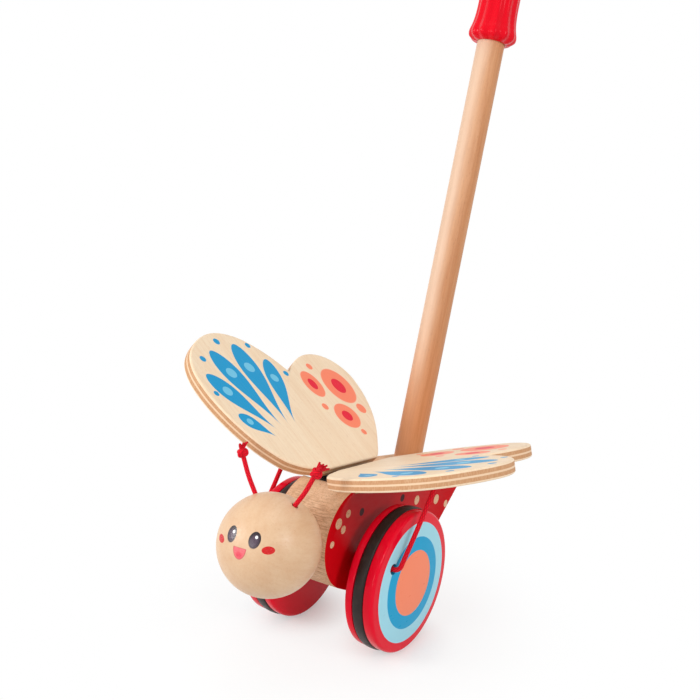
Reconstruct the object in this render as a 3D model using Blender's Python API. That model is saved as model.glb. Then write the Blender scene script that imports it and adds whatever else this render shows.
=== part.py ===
"""A wooden push toy: a block body with a ball head, two wheels, two plywood wings and a long push rod.

The toy rolls along Y with its face towards -Y, and its axle lies along X. The origin is on the flat
underside of the body, straight below the axle. All lengths are in metres. Left and right in the names
are those of someone who looks the toy in the face: left is towards -X and right is towards +X.
"""
import math

import bmesh
import bpy
from mathutils import Matrix, Vector

# Fits and cuts
GAP = 0.0003             # between two pieces that touch
RUNNING_GAP = 0.0005     # round the axle, all the way
OVERRUN = 0.004          # how far a cutter runs past the face that it opens

# Axle, wheels and their rubber rings
AXLE_HEIGHT = 0.018      # above the body's underside
AXLE_RADIUS = 0.005
AXLE_SEAT = 0.014        # depth of the axle's blind hole in each wheel
WHEEL_RADIUS = 0.048
WHEEL_WIDTH = 0.0212
WHEEL_CLEARANCE = 0.0097 # from the body's side to the wheel's inner face
WHEEL_EDGE = 0.0022      # rounding of the wheel's corners
WHEEL_DOME = 0.0022      # the outer face swells by this much at its middle
WHEEL_SIDES = 40
TYRE_WIDTH = 0.0084
TYRE_OFFSET = 0.0059     # from the wheel's inner face to the ring's groove
TYRE_DEPTH = 0.0040      # depth of the groove
TYRE_PROUD = 0.0007      # the ring stands out of the wood by this much
TYRE_EDGE = 0.0012
SPACER_RADIUS = 0.012

# Body block, seen from the side: Y runs to the tail, Z runs up
BODY_WIDTH = 0.042
CHEST_Y = -0.0202        # centre of the round front
CHEST_Z = 0.0502
CHEST_RADIUS = 0.034
CHEST_SLOPE = math.radians(32)   # the line from the round front down to the underside
BACK_SLOPE = math.radians(12)    # the flat under the wings falls towards the tail
RUMP_SLOPE = math.radians(16)    # the flat round the rod
RUMP_START_Y = 0.069
TAIL_SLOPE = math.radians(32.4)
TAIL_HEEL_Y = 0.092
TAIL_HEEL_Z = 0.0157
BELLY_END_Y = 0.046
TAIL_TIP_RADIUS = 0.008
TAIL_HEEL_RADIUS = 0.004
BELLY_RADIUS = 0.006
BODY_EDGE = 0.0008
CHEST_STEPS = 18
CORNER_STEPS = 4

# Ball head, its dowel and the two cords on it
HEAD_RADIUS = 0.0325
HEAD_Y = -0.0842
HEAD_Z = 0.0671
DOWEL_RADIUS = 0.005
DOWEL_IN_HEAD = 0.014
DOWEL_IN_BODY = 0.016
ANTENNA_RADIUS = 0.0015
ANTENNA_BASE = (0.0152, 0.0068, 0.0279)   # from the head's centre
ANTENNA_TIP = (0.0262, 0.0104, 0.0470)
ANTENNA_SEAT = 0.006
ANTENNA_HOLE_RADIUS = 0.0021
KNOT_RADIUS = 0.0034
TUFT_LENGTH = 0.0042
TUFT_RADIUS = 0.0024

# Wings: planed plywood, rounded along the edge
WING_THICKNESS = 0.0086
WING_SPAN = 0.1262       # from the hinge to the tip
WING_CHORD = 0.1625      # a bit less than from the front of the forewing to the back of the hindwing
WING_EDGE = 0.0016
HINGE_HALF_SPACING = 0.0068
HINGE_OFFSET = 0.0010    # the wing's root starts this far outside its hinge line
HINGE_START_Y = -0.0131  # the point of the back from which the wings are set out
WING_RISE_LEFT = math.radians(36.3)
WING_RISE_RIGHT = math.radians(16)
FOREWING_SHARES = (      # along the chord, along the span
    (-0.035, 0.000), (-0.095, 0.022), (-0.155, 0.045), (-0.205, 0.078), (-0.245, 0.118), (-0.308, 0.232),
    (-0.356, 0.385), (-0.379, 0.530), (-0.381, 0.640), (-0.366, 0.745), (-0.324, 0.842), (-0.255, 0.918),
    (-0.186, 0.964), (-0.112, 0.991), (-0.035, 0.988), (0.045, 0.950), (0.112, 0.880), (0.171, 0.785),
    (0.220, 0.666))
HINDWING_SHARES = (
    (0.220, 0.666), (0.278, 0.712), (0.343, 0.753), (0.412, 0.776), (0.480, 0.775), (0.545, 0.748),
    (0.598, 0.694), (0.632, 0.616), (0.638, 0.540), (0.622, 0.430), (0.580, 0.305), (0.512, 0.185),
    (0.430, 0.080), (0.378, 0.020), (0.350, 0.000))
CURVE_STEPS = 2

# Flexible strips that hinge the wings, and the tacks that hold them
STRIP_THICKNESS = 0.0018
STRIP_FLAP = 0.0150      # width under the wing
STRIP_START_SHARE = -0.03
STRIP_END_SHARE = 0.31   # ends of the strips, as shares of the chord
STRIP_MARGIN = 0.0012    # the groove is longer and wider than the strips by this much
TACK_HEAD_RADIUS = 0.0020
TACK_HEAD_THICKNESS = 0.0006
TACK_SHANK_RADIUS = 0.0006
TACK_LENGTH = 0.0052
TACK_SIDES = 8
TACK_SHARES = (0.12, 0.50, 0.88)   # places along the strip
FLAP_TACK_SHARE = 0.62   # place across the flap
POCKET_CLEARANCE = 0.0005

# Pull cords from the wheels to the wings
CORD_RADIUS = 0.0016
CORD_HOLE_RADIUS = 0.0036
CORD_CRANK = 0.0317      # from the axle to the hole in the wheel
CORD_ANGLE = math.radians(139.2)   # of the hole, from the tail over the top towards the face
CORD_SPAN = 0.0538       # from the hinge to the cord's seat under the wing
CORD_CHORD = 0.0317      # from the hinge's start to that seat
CORD_SEAT = 0.0042
CORD_KNOT_RADIUS = 0.0043
CORD_BEND_RADIUS = 0.0040
CORD_SAG_SHARE = 0.015
CORD_ROUTE_SHARES = (0.33, 0.67)    # places along the free cord where it sags

# Push rod and grip
ROD_RADIUS = 0.0100
ROD_LEAN = math.radians(20.83)
ROD_Y = 0.0798           # where the rod's axis leaves the body
ROD_SOCKET = 0.030
ROD_REACH = 0.3090       # from the body to the grip
ROD_END_EDGE = 0.0012
ROD_SIDES = 24
GRIP_LENGTH = 0.100
GRIP_COVER = 0.080       # the rod runs this far into the grip
GRIP_RIM_RADIUS = 0.0168
GRIP_WAIST_RADIUS = 0.0142
GRIP_BULB_RADIUS = 0.0172
GRIP_FLUTE = 0.0007
GRIP_FLUTES = 12
GRIP_SIDES = 48
GRIP_PROFILE_SHARES = (  # along the grip, and from the waist's radius (0) to the rim's (1) or the bulb's (2)
    (0.000, -1.00), (0.008, -0.30), (0.020, 0.40), (0.035, 0.84), (0.055, 1.00), (0.080, 0.88), (0.120, 0.48),
    (0.180, 0.14), (0.280, 0.00), (0.480, 0.20), (0.680, 1.20), (0.840, 2.00), (0.920, 1.80), (0.970, 0.60),
    (0.995, -1.60))

# Colours, roughness
WOOD = ((0.83, 0.60, 0.38), 0.55)
ROD_WOOD = ((0.86, 0.55, 0.31), 0.45)
PLYWOOD = ((0.86, 0.67, 0.44), 0.55)
RED_PAINT = ((0.62, 0.02, 0.03), 0.30)
RED_GRIP = ((0.78, 0.02, 0.03), 0.18)
RUBBER = ((0.035, 0.025, 0.025), 0.70)
STRIP_BLACK = ((0.02, 0.02, 0.02), 0.80)
CORD_RED = ((0.66, 0.02, 0.04), 0.75)
STEEL = ((0.62, 0.62, 0.64), 0.30)

# Worked out from the sizes above
TYRE_RADIUS = WHEEL_RADIUS + TYRE_PROUD
WHEEL_INNER_X = BODY_WIDTH / 2 + WHEEL_CLEARANCE
WHEEL_OUTER_X = WHEEL_INNER_X + WHEEL_WIDTH
AXLE = Vector((0, 0, AXLE_HEIGHT))
HEAD_CENTRE = Vector((0, HEAD_Y, HEAD_Z))
CHEST_CENTRE = Vector((0, CHEST_Y, CHEST_Z))
NECK = (HEAD_CENTRE - CHEST_CENTRE).normalized()
NECK_LENGTH = (HEAD_CENTRE - CHEST_CENTRE).length
BACK_UP = Vector((0, math.sin(BACK_SLOPE), math.cos(BACK_SLOPE)))
BACK_ALONG = Vector((0, math.cos(BACK_SLOPE), -math.sin(BACK_SLOPE)))
BACK_TOP = CHEST_CENTRE + BACK_UP * CHEST_RADIUS
HINGE_ORIGIN = (BACK_TOP + BACK_ALONG * ((HINGE_START_Y - BACK_TOP.y) / BACK_ALONG.y)
                + BACK_UP * GAP)
ROD_ALONG = Vector((0, math.sin(ROD_LEAN), math.cos(ROD_LEAN)))


def clear_scene():
    for item in list(bpy.data.objects):
        bpy.data.objects.remove(item, do_unlink=True)


def material(name, look, metallic=0.0):
    colour, roughness = look
    made = bpy.data.materials.new(name)
    made.use_nodes = True
    shader = made.node_tree.nodes["Principled BSDF"]
    shader.inputs["Base Color"].default_value = (*colour, 1.0)
    shader.inputs["Roughness"].default_value = roughness
    shader.inputs["Metallic"].default_value = metallic
    return made


def add_empty(name, location, rotation=(0, 0, 0), parent=None):
    empty = bpy.data.objects.new(name, None)
    empty.location = location
    empty.rotation_euler = rotation
    empty.parent = parent
    bpy.context.collection.objects.link(empty)
    return empty


def add_piece(name, bm, surface, parent=None, location=(0, 0, 0), rotation=(0, 0, 0), smooth=True):
    """Turns a bmesh into a named object with its material."""
    bmesh.ops.recalc_face_normals(bm, faces=bm.faces)
    mesh = bpy.data.meshes.new(name)
    bm.to_mesh(mesh)
    bm.free()
    mesh.materials.append(surface)
    if smooth:
        mesh.shade_smooth()
        mesh.set_sharp_from_angle(angle=math.radians(35))
    piece = bpy.data.objects.new(name, mesh)
    piece.location = location
    piece.rotation_euler = rotation
    piece.parent = parent
    bpy.context.collection.objects.link(piece)
    return piece


def cut(piece, *cutters):
    """Takes the cutters out of the piece and hides them."""
    for cutter in cutters:
        cutter.hide_render = True
        cutter.display_type = "WIRE"
        step = piece.modifiers.new("Cut " + cutter.name, "BOOLEAN")
        step.operation = "DIFFERENCE"
        step.solver = "EXACT"
        step.object = cutter


def round_edges(piece, width, angle=math.radians(35), segments=2):
    step = piece.modifiers.new("Rounded edges", "BEVEL")
    step.width = width
    step.segments = segments
    step.limit_method = "ANGLE"
    step.angle_limit = angle


def rod_mesh(bm, start, end, radius, sides):
    """Adds a closed cylinder between two points."""
    along = Vector(end) - Vector(start)
    place = Matrix.Translation((Vector(start) + Vector(end)) / 2)
    turn = along.to_track_quat("Z", "Y").to_matrix().to_4x4()
    bmesh.ops.create_cone(bm, cap_ends=True, segments=sides, radius1=radius, radius2=radius,
                          depth=along.length, matrix=place @ turn)


def rod_cutter(name, start, end, radius, sides, parent=None):
    bm = bmesh.new()
    rod_mesh(bm, start, end, radius, sides)
    return add_piece(name, bm, CUTTER, parent)


def turned(profile, sides):
    """Spins a profile of (radius, height) points round Z into a closed solid or ring."""
    bm = bmesh.new()
    points = [bm.verts.new((radius, 0, height)) for radius, height in profile]
    edges = [bm.edges.new(pair) for pair in zip(points, points[1:])]
    if profile[0][0] > 0:
        edges.append(bm.edges.new((points[-1], points[0])))
    bmesh.ops.spin(bm, geom=points + edges, cent=(0, 0, 0), axis=(0, 0, 1), angle=math.tau, steps=sides,
                   use_merge=True, use_normal_flip=False, use_duplicate=False)
    bmesh.ops.remove_doubles(bm, verts=bm.verts, dist=GAP / 100)
    return bm


def arc(centre, radius, start, end, steps):
    """Points of an arc as (first, second) coordinates."""
    turns = [start + (end - start) * step / steps for step in range(steps + 1)]
    return [(centre[0] + radius * math.cos(turn), centre[1] + radius * math.sin(turn)) for turn in turns]


def rounded_corner(before, corner, after, radius, steps):
    """Points of the arc that rounds a corner of an outline."""
    corner = Vector(corner)
    back = (Vector(before) - corner).normalized()
    forth = (Vector(after) - corner).normalized()
    half = back.angle(forth) / 2
    centre = corner + (back + forth).normalized() * (radius / math.sin(half))
    first = corner + back * (radius / math.tan(half)) - centre
    turn = first.angle_signed(corner + forth * (radius / math.tan(half)) - centre)
    start = math.atan2(first.y, first.x)
    return arc(centre, radius, start, start - turn, steps)


def crossing(first_point, first_angle, second_point, second_angle):
    """The point where two lines of the outline cross."""
    a = Vector(first_point)
    b = Vector(second_point)
    run = Vector((math.cos(first_angle), math.sin(first_angle)))
    other = Vector((math.cos(second_angle), math.sin(second_angle)))
    along = (b - a).cross(other) / run.cross(other)
    return tuple(a + run * along)


def smooth_curve(points, steps):
    """Catmull-Rom curve through open points, ends kept."""
    chain = [points[0], *points, points[-1]]
    curve = []
    for before, start, end, after in zip(chain, chain[1:], chain[2:], chain[3:]):
        for step in range(steps):
            t = step / steps
            curve.append(tuple(0.5 * (2 * b + (c - a) * t + (2 * a - 5 * b + 4 * c - d) * t * t
                                      + (3 * b - a - 3 * c + d) * t ** 3)
                               for a, b, c, d in zip(before, start, end, after)))
    curve.append(tuple(points[-1]))
    return curve


def slab(outline, thickness, place):
    """Extrudes a flat outline; place maps (first, second, depth) to a point."""
    bm = bmesh.new()
    face = bm.faces.new([bm.verts.new(place(first, second, 0)) for first, second in outline])
    grown = bmesh.ops.extrude_face_region(bm, geom=[face])
    shift = Vector(place(0, 0, thickness)) - Vector(place(0, 0, 0))
    bmesh.ops.translate(bm, verts=[item for item in grown["geom"] if isinstance(item, bmesh.types.BMVert)],
                        vec=shift)
    return bm


def cord(name, points, radius, surface, parent=None):
    """A round cord along the points, as a curve with a bevel and filled caps."""
    curve = bpy.data.curves.new(name, "CURVE")
    curve.dimensions = "3D"
    curve.bevel_depth = radius
    curve.bevel_resolution = 2
    curve.use_fill_caps = True
    spline = curve.splines.new("POLY")
    spline.points.add(len(points) - 1)
    for place, point in zip(spline.points, points):
        place.co = (*point, 1)
    curve.materials.append(surface)
    made = bpy.data.objects.new(name, curve)
    made.parent = parent
    bpy.context.collection.objects.link(made)


def body_outline():
    """The block from the side, as (Y, Z): round chest, back, rump, tail, belly."""
    chest = arc((CHEST_Y, CHEST_Z), CHEST_RADIUS, math.radians(270) - CHEST_SLOPE,
                math.radians(90) - BACK_SLOPE, CHEST_STEPS)
    rump = crossing(chest[-1], -BACK_SLOPE, (RUMP_START_Y, 0), math.radians(90))
    heel = (TAIL_HEEL_Y, TAIL_HEEL_Z)
    tip = crossing(rump, -RUMP_SLOPE, heel, TAIL_SLOPE)
    belly_end = (BELLY_END_Y, 0)
    belly_start = crossing(chest[0], -CHEST_SLOPE, (0, 0), 0)
    return (chest + [rump]
            + rounded_corner(rump, tip, heel, TAIL_TIP_RADIUS, CORNER_STEPS)
            + rounded_corner(tip, heel, belly_end, TAIL_HEEL_RADIUS, CORNER_STEPS)
            + rounded_corner(heel, belly_end, belly_start, BELLY_RADIUS, CORNER_STEPS)
            + rounded_corner(belly_end, belly_start, chest[0], BELLY_RADIUS, CORNER_STEPS))


def strip_span():
    """Start and length of the hinge strips along the back."""
    start = WING_CHORD * STRIP_START_SHARE
    return start, WING_CHORD * STRIP_END_SHARE - start


def tack_places():
    start, length = strip_span()
    return [start + length * share for share in TACK_SHARES]


def make_body():
    bm = slab(body_outline(), BODY_WIDTH, lambda y, z, x: (x - BODY_WIDTH / 2, y, z))
    body = add_piece("body_block", bm, material("body_wood", WOOD))
    round_edges(body, BODY_EDGE)
    bore = rod_cutter("axle_bore", AXLE - Vector((BODY_WIDTH, 0, 0)), AXLE + Vector((BODY_WIDTH, 0, 0)),
                      AXLE_RADIUS + RUNNING_GAP, ROD_SIDES)
    neck = rod_cutter("neck_bore", CHEST_CENTRE + NECK * (CHEST_RADIUS - DOWEL_IN_BODY),
                      CHEST_CENTRE + NECK * (CHEST_RADIUS + OVERRUN), DOWEL_RADIUS + GAP, ROD_SIDES)
    socket = rod_cutter("rod_socket", rod_point(-ROD_SOCKET), rod_point(ROD_RADIUS + OVERRUN),
                        ROD_RADIUS + GAP, ROD_SIDES)
    back = add_empty("back", HINGE_ORIGIN, (-BACK_SLOPE, 0, 0))
    cutters = [bore, neck, socket, strip_groove(back)]
    for side, word in ((-1, "left"), (1, "right")):
        for number, place in enumerate(tack_places(), 1):
            foot = Vector((side * HINGE_HALF_SPACING / 2, place, -TACK_LENGTH - GAP))
            cutters.append(rod_cutter(f"tack_hole_{word}_{number}", foot, (foot.x, foot.y, OVERRUN),
                                      TACK_SHANK_RADIUS + GAP, TACK_SIDES, back))
    cut(body, *cutters)
    return back


def strip_groove(back):
    """The cutter for the strips' groove, deeper on both sides, where the flaps' tacks hang down."""
    start, length = strip_span()
    shallow = -STRIP_THICKNESS - 2 * GAP
    deep = shallow - TACK_HEAD_THICKNESS - GAP - POCKET_CLEARANCE
    inner = HINGE_HALF_SPACING + STRIP_MARGIN
    outer = HINGE_HALF_SPACING + STRIP_FLAP + STRIP_MARGIN
    outline = [(-outer, OVERRUN), (-outer, deep), (-inner, deep), (-inner, shallow),
               (inner, shallow), (inner, deep), (outer, deep), (outer, OVERRUN)]
    bm = slab(outline, length + 2 * STRIP_MARGIN, lambda x, z, along: (x, start - STRIP_MARGIN + along, z))
    return add_piece("strip_groove", bm, CUTTER, back)


def rod_point(along):
    """A point of the rod's axis, measured from where it leaves the rump."""
    outline_rump = Vector((0, *crossing((BACK_TOP.y, BACK_TOP.z), -BACK_SLOPE, (RUMP_START_Y, 0),
                                        math.radians(90))))
    mouth = outline_rump + Vector((0, 1, -math.tan(RUMP_SLOPE))) * (ROD_Y - RUMP_START_Y)
    return mouth + ROD_ALONG * along


def make_head():
    """The ball sits on the chest with a small flat, held by a dowel."""
    flat = NECK_LENGTH - CHEST_RADIUS - GAP
    bm = bmesh.new()
    bmesh.ops.create_uvsphere(bm, u_segments=28, v_segments=16, radius=HEAD_RADIUS)
    head = add_piece("head_ball", bm, material("head_wood", WOOD), location=HEAD_CENTRE)
    back = rod_cutter("head_flat", HEAD_CENTRE - NECK * flat, HEAD_CENTRE - NECK * (HEAD_RADIUS + OVERRUN),
                      HEAD_RADIUS, ROD_SIDES)
    bore = rod_cutter("dowel_bore", HEAD_CENTRE - NECK * (flat - DOWEL_IN_HEAD),
                      HEAD_CENTRE - NECK * (flat + OVERRUN), DOWEL_RADIUS + GAP, ROD_SIDES)
    cut(head, back, bore)
    dowel = bmesh.new()
    rod_mesh(dowel, HEAD_CENTRE - NECK * (flat - DOWEL_IN_HEAD + GAP),
             CHEST_CENTRE + NECK * (CHEST_RADIUS - DOWEL_IN_BODY + GAP), DOWEL_RADIUS, ROD_SIDES)
    add_piece("head_dowel", dowel, material("dowel_wood", ROD_WOOD))
    surface = material("antenna_cord", CORD_RED)
    for side, word in ((-1, "left"), (1, "right")):
        make_antenna(head, side, word, surface)


def make_antenna(head, side, word, surface):
    base = HEAD_CENTRE + Vector((side * ANTENNA_BASE[0], ANTENNA_BASE[1], ANTENNA_BASE[2]))
    tip = HEAD_CENTRE + Vector((side * ANTENNA_TIP[0], ANTENNA_TIP[1], ANTENNA_TIP[2]))
    along = (tip - base).normalized()
    foot = base - along * ANTENNA_SEAT
    cut(head, rod_cutter("antenna_hole_" + word, foot - along * GAP, base + along * OVERRUN,
                         ANTENNA_HOLE_RADIUS, TACK_SIDES))
    bow = Vector((side, 0, 0)) * ANTENNA_RADIUS / 2
    middle = (base + tip) / 2 + bow
    cord("antenna_" + word, smooth_curve([foot, base, middle, tip], CURVE_STEPS), ANTENNA_RADIUS, surface)
    end = (tip - middle).normalized()
    knot_end = 2 * KNOT_RADIUS
    profile = [(KNOT_RADIUS * math.sin(turn), KNOT_RADIUS - KNOT_RADIUS * math.cos(turn))
               for turn in (math.pi * share / 8 for share in range(7))]
    profile += [(TUFT_RADIUS, knot_end + TUFT_LENGTH), (0, knot_end + TUFT_LENGTH)]
    knot = add_piece("antenna_knot_" + word, turned(profile, TACK_SIDES), surface, location=tip + end * GAP)
    knot.rotation_euler = end.to_track_quat("Z", "Y").to_euler()


def wheel_profile():
    """Half of the wheel's section as (radius, distance from its inner face), axle hole included."""
    hub = AXLE_RADIUS + GAP
    seat = AXLE_SEAT + GAP
    groove = WHEEL_RADIUS - TYRE_DEPTH
    rim = WHEEL_RADIUS - WHEEL_EDGE
    face = [(rim * share, WHEEL_WIDTH + WHEEL_DOME * (1 - share ** 2)) for share in (0, 0.25, 0.5, 0.75)]
    outer_edge = arc((rim, WHEEL_WIDTH - WHEEL_EDGE), WHEEL_EDGE, math.radians(90), 0, 3)
    inner_edge = arc((rim, WHEEL_EDGE), WHEEL_EDGE, 0, -math.radians(90), 3)
    return (face + outer_edge
            + [(WHEEL_RADIUS, TYRE_OFFSET + TYRE_WIDTH), (groove, TYRE_OFFSET + TYRE_WIDTH),
               (groove, TYRE_OFFSET), (WHEEL_RADIUS, TYRE_OFFSET)]
            + inner_edge + [(hub, 0), (hub, seat), (0, seat)])


def tyre_profile():
    inside = WHEEL_RADIUS - TYRE_DEPTH + GAP
    start = TYRE_OFFSET + GAP
    end = TYRE_OFFSET + TYRE_WIDTH - GAP
    shoulder = arc((TYRE_RADIUS - TYRE_EDGE, end - TYRE_EDGE), TYRE_EDGE, math.radians(90), 0, 2)
    foot = arc((TYRE_RADIUS - TYRE_EDGE, start + TYRE_EDGE), TYRE_EDGE, 0, -math.radians(90), 2)
    return [(inside, end)] + shoulder + foot + [(inside, start)]


def make_wheels():
    """The axle turns in the body with both wheels glued to it."""
    wheelset = add_empty("wheel_axis", AXLE)
    wood = material("wheel_red", RED_PAINT)
    rubber = material("tyre_rubber", RUBBER)
    cord_look = material("wheel_cord", CORD_RED)
    half = WHEEL_INNER_X + AXLE_SEAT
    axle = bmesh.new()
    rod_mesh(axle, (-half, 0, 0), (half, 0, 0), AXLE_RADIUS, ROD_SIDES)
    add_piece("axle", axle, material("axle_wood", ROD_WOOD), wheelset)
    hole_y = CORD_CRANK * math.cos(CORD_ANGLE)
    hole_z = CORD_CRANK * math.sin(CORD_ANGLE)
    for side, word in ((-1, "left"), (1, "right")):
        turn = (0, side * math.radians(90), 0)
        place = (side * WHEEL_INNER_X, 0, 0)
        wheel = add_piece("wheel_" + word, turned(wheel_profile(), WHEEL_SIDES), wood, wheelset, place, turn)
        add_piece("tyre_" + word, turned(tyre_profile(), WHEEL_SIDES), rubber, wheelset, place, turn)
        hole = rod_cutter("cord_hole_" + word, (side * (WHEEL_INNER_X - OVERRUN), hole_y, hole_z),
                          (side * (WHEEL_OUTER_X + OVERRUN), hole_y, hole_z), CORD_HOLE_RADIUS, TACK_SIDES,
                          wheelset)
        cut(wheel, hole)
        make_spacer(side, word)
        make_cord_end(side, word, wheelset, cord_look)


def make_spacer(side, word):
    inside = AXLE_RADIUS + RUNNING_GAP
    start = BODY_WIDTH / 2 + GAP
    end = WHEEL_INNER_X - GAP
    profile = [(inside, end), (SPACER_RADIUS, end), (SPACER_RADIUS, start), (inside, start)]
    add_piece("axle_spacer_" + word, turned(profile, ROD_SIDES), material("spacer_wood_" + word, WOOD),
              location=AXLE, rotation=(0, side * math.radians(90), 0))


def cord_seat(side):
    """The mouth of the cord's seat under a wing, and the way into the wood."""
    rise = WING_RISE_LEFT if side < 0 else WING_RISE_RIGHT
    turn = Matrix.Rotation(-BACK_SLOPE, 3, "X") @ Matrix.Rotation(-side * rise, 3, "Y")
    hinge = HINGE_ORIGIN + Vector((side * HINGE_HALF_SPACING, 0, 0))
    return hinge + turn @ Vector((side * CORD_SPAN, CORD_CHORD, 0)), turn @ Vector((0, 0, 1))


def cord_bend(side):
    """Points of the cord where it comes out of the wheel and turns towards the wing."""
    mouth = AXLE + Vector((side * WHEEL_OUTER_X, CORD_CRANK * math.cos(CORD_ANGLE),
                           CORD_CRANK * math.sin(CORD_ANGLE)))
    out = Vector((side, 0, 0))
    seat = cord_seat(side)[0]
    pull = seat - mouth
    pull = (pull - out * pull.dot(out)).normalized()
    centre = mouth + pull * CORD_BEND_RADIUS + out * CORD_RADIUS
    turns = [math.radians(90) * share / 4 for share in range(5)]
    return [centre + (out * math.sin(turn) - pull * math.cos(turn)) * CORD_BEND_RADIUS for turn in turns]


def make_cord_end(side, word, wheelset, surface):
    """The cord's knot behind the wheel and its stretch through the wood, one closed solid."""
    bend = cord_bend(side)
    start = Vector((side * (WHEEL_INNER_X - GAP), bend[0].y, bend[0].z))
    points = [start] + bend
    cord("wheel_cord_" + word, [point - AXLE for point in points], CORD_RADIUS, surface, wheelset)
    centre = start - AXLE - Vector((side * CORD_KNOT_RADIUS, 0, 0))
    bm = bmesh.new()
    bmesh.ops.create_uvsphere(bm, u_segments=10, v_segments=6, radius=CORD_KNOT_RADIUS,
                              matrix=Matrix.Translation(centre))
    add_piece("wheel_knot_" + word, bm, surface, wheelset)


def wing_outline():
    """The wing from above, as (along the chord, along the span)."""
    fore = smooth_curve([(WING_CHORD * a, WING_SPAN * b) for a, b in FOREWING_SHARES], CURVE_STEPS)
    hind = smooth_curve([(WING_CHORD * a, WING_SPAN * b) for a, b in HINDWING_SHARES], CURVE_STEPS)
    return fore + hind[1:]


def make_wing(back, side, word, rise):
    hinge = add_empty("wing_hinge_" + word, (side * HINGE_HALF_SPACING, 0, 0), parent=back)
    leaf = add_empty("wing_leaf_" + word, (0, 0, 0), (0, -side * rise, 0), hinge)
    bm = slab(wing_outline(), WING_THICKNESS,
              lambda chord, span, up: (side * (HINGE_OFFSET + span), chord, up))
    wing = add_piece("wing_" + word, bm, material("wing_plywood_" + word, PLYWOOD), leaf)
    round_edges(wing, WING_EDGE)
    seat = (side * CORD_SPAN, CORD_CHORD)
    cutters = [rod_cutter("cord_seat_" + word, (*seat, -OVERRUN), (*seat, CORD_SEAT + GAP),
                          CORD_RADIUS + GAP, TACK_SIDES, leaf)]
    flap_under = -STRIP_THICKNESS - 2 * GAP
    steel = material("tack_steel_" + word, STEEL, 1.0)
    for number, place in enumerate(tack_places(), 1):
        at = (side * STRIP_FLAP * FLAP_TACK_SHARE, place)
        cutters.append(rod_cutter(f"flap_tack_hole_{word}_{number}", (*at, -OVERRUN),
                                  (*at, flap_under + TACK_LENGTH + GAP), TACK_SHANK_RADIUS + GAP,
                                  TACK_SIDES, leaf))
        make_tack(f"flap_tack_{word}_{number}", (*at, flap_under), 1, leaf, steel)
        make_tack(f"back_tack_{word}_{number}", (-side * HINGE_HALF_SPACING / 2, place, 0), -1, hinge, steel)
    cut(wing, *cutters)
    make_strip(hinge, leaf, side, word, rise)


def make_tack(name, head_face, way, parent, surface):
    """A flat-headed tack whose shank points up (way 1) or down (way -1)."""
    head = TACK_HEAD_THICKNESS * -way
    profile = [(0, head), (TACK_HEAD_RADIUS, head), (TACK_HEAD_RADIUS, 0), (TACK_SHANK_RADIUS, 0),
               (TACK_SHANK_RADIUS, way * (TACK_LENGTH - 2 * TACK_SHANK_RADIUS)), (0, way * TACK_LENGTH)]
    add_piece(name, turned(profile, TACK_SIDES), surface, parent, head_face)


def make_strip(hinge, leaf, side, word, rise):
    """A flexible strip: flat on the back, then bent up along the wing's underside."""
    start, length = strip_span()

    def section(depth):
        bend = depth * math.tan(rise / 2)
        inner = (-(HINGE_HALF_SPACING - GAP / 2), -depth)
        outer = (STRIP_FLAP * math.cos(rise) + depth * math.sin(rise),
                 STRIP_FLAP * math.sin(rise) - depth * math.cos(rise))
        return [inner, (bend, -depth), outer]

    outline = section(GAP) + section(GAP + STRIP_THICKNESS)[::-1]
    bm = slab(outline, length, lambda across, up, along: (side * across, start + along, up))
    strip = add_piece("hinge_strip_" + word, bm, material("strip_" + word, STRIP_BLACK), hinge, smooth=False)
    cutters = []
    for number, place in enumerate(tack_places(), 1):
        back_at = (-side * HINGE_HALF_SPACING / 2, place)
        flap_at = (side * STRIP_FLAP * FLAP_TACK_SHARE, place)
        reach = STRIP_THICKNESS + OVERRUN
        cutters.append(rod_cutter(f"strip_back_hole_{word}_{number}", (*back_at, -reach), (*back_at, OVERRUN),
                                  TACK_SHANK_RADIUS + GAP, TACK_SIDES, hinge))
        cutters.append(rod_cutter(f"strip_flap_hole_{word}_{number}", (*flap_at, -reach), (*flap_at, OVERRUN),
                                  TACK_SHANK_RADIUS + GAP, TACK_SIDES, leaf))
    cut(strip, *cutters)


def make_pull_cord(side, word):
    """The free stretch between the wheel and the wing."""
    mouth, inward = cord_seat(side)
    bend = cord_bend(side)
    away = (bend[-1] - bend[-2]).normalized()
    start = bend[-1] + away * GAP
    seated = mouth + inward * CORD_SEAT
    length = (mouth - start).length
    sag = Vector((0, 0, -length * CORD_SAG_SHARE))
    approach = mouth - inward * CORD_BEND_RADIUS
    route = [start + away * CORD_RADIUS, *(start.lerp(approach, share) + sag for share in CORD_ROUTE_SHARES),
             approach - inward * CORD_RADIUS / 2, approach]
    points = [start, *smooth_curve(route, CURVE_STEPS), seated]
    cord("wing_cord_" + word, points, CORD_RADIUS, material("pull_cord_" + word, CORD_RED))


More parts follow.
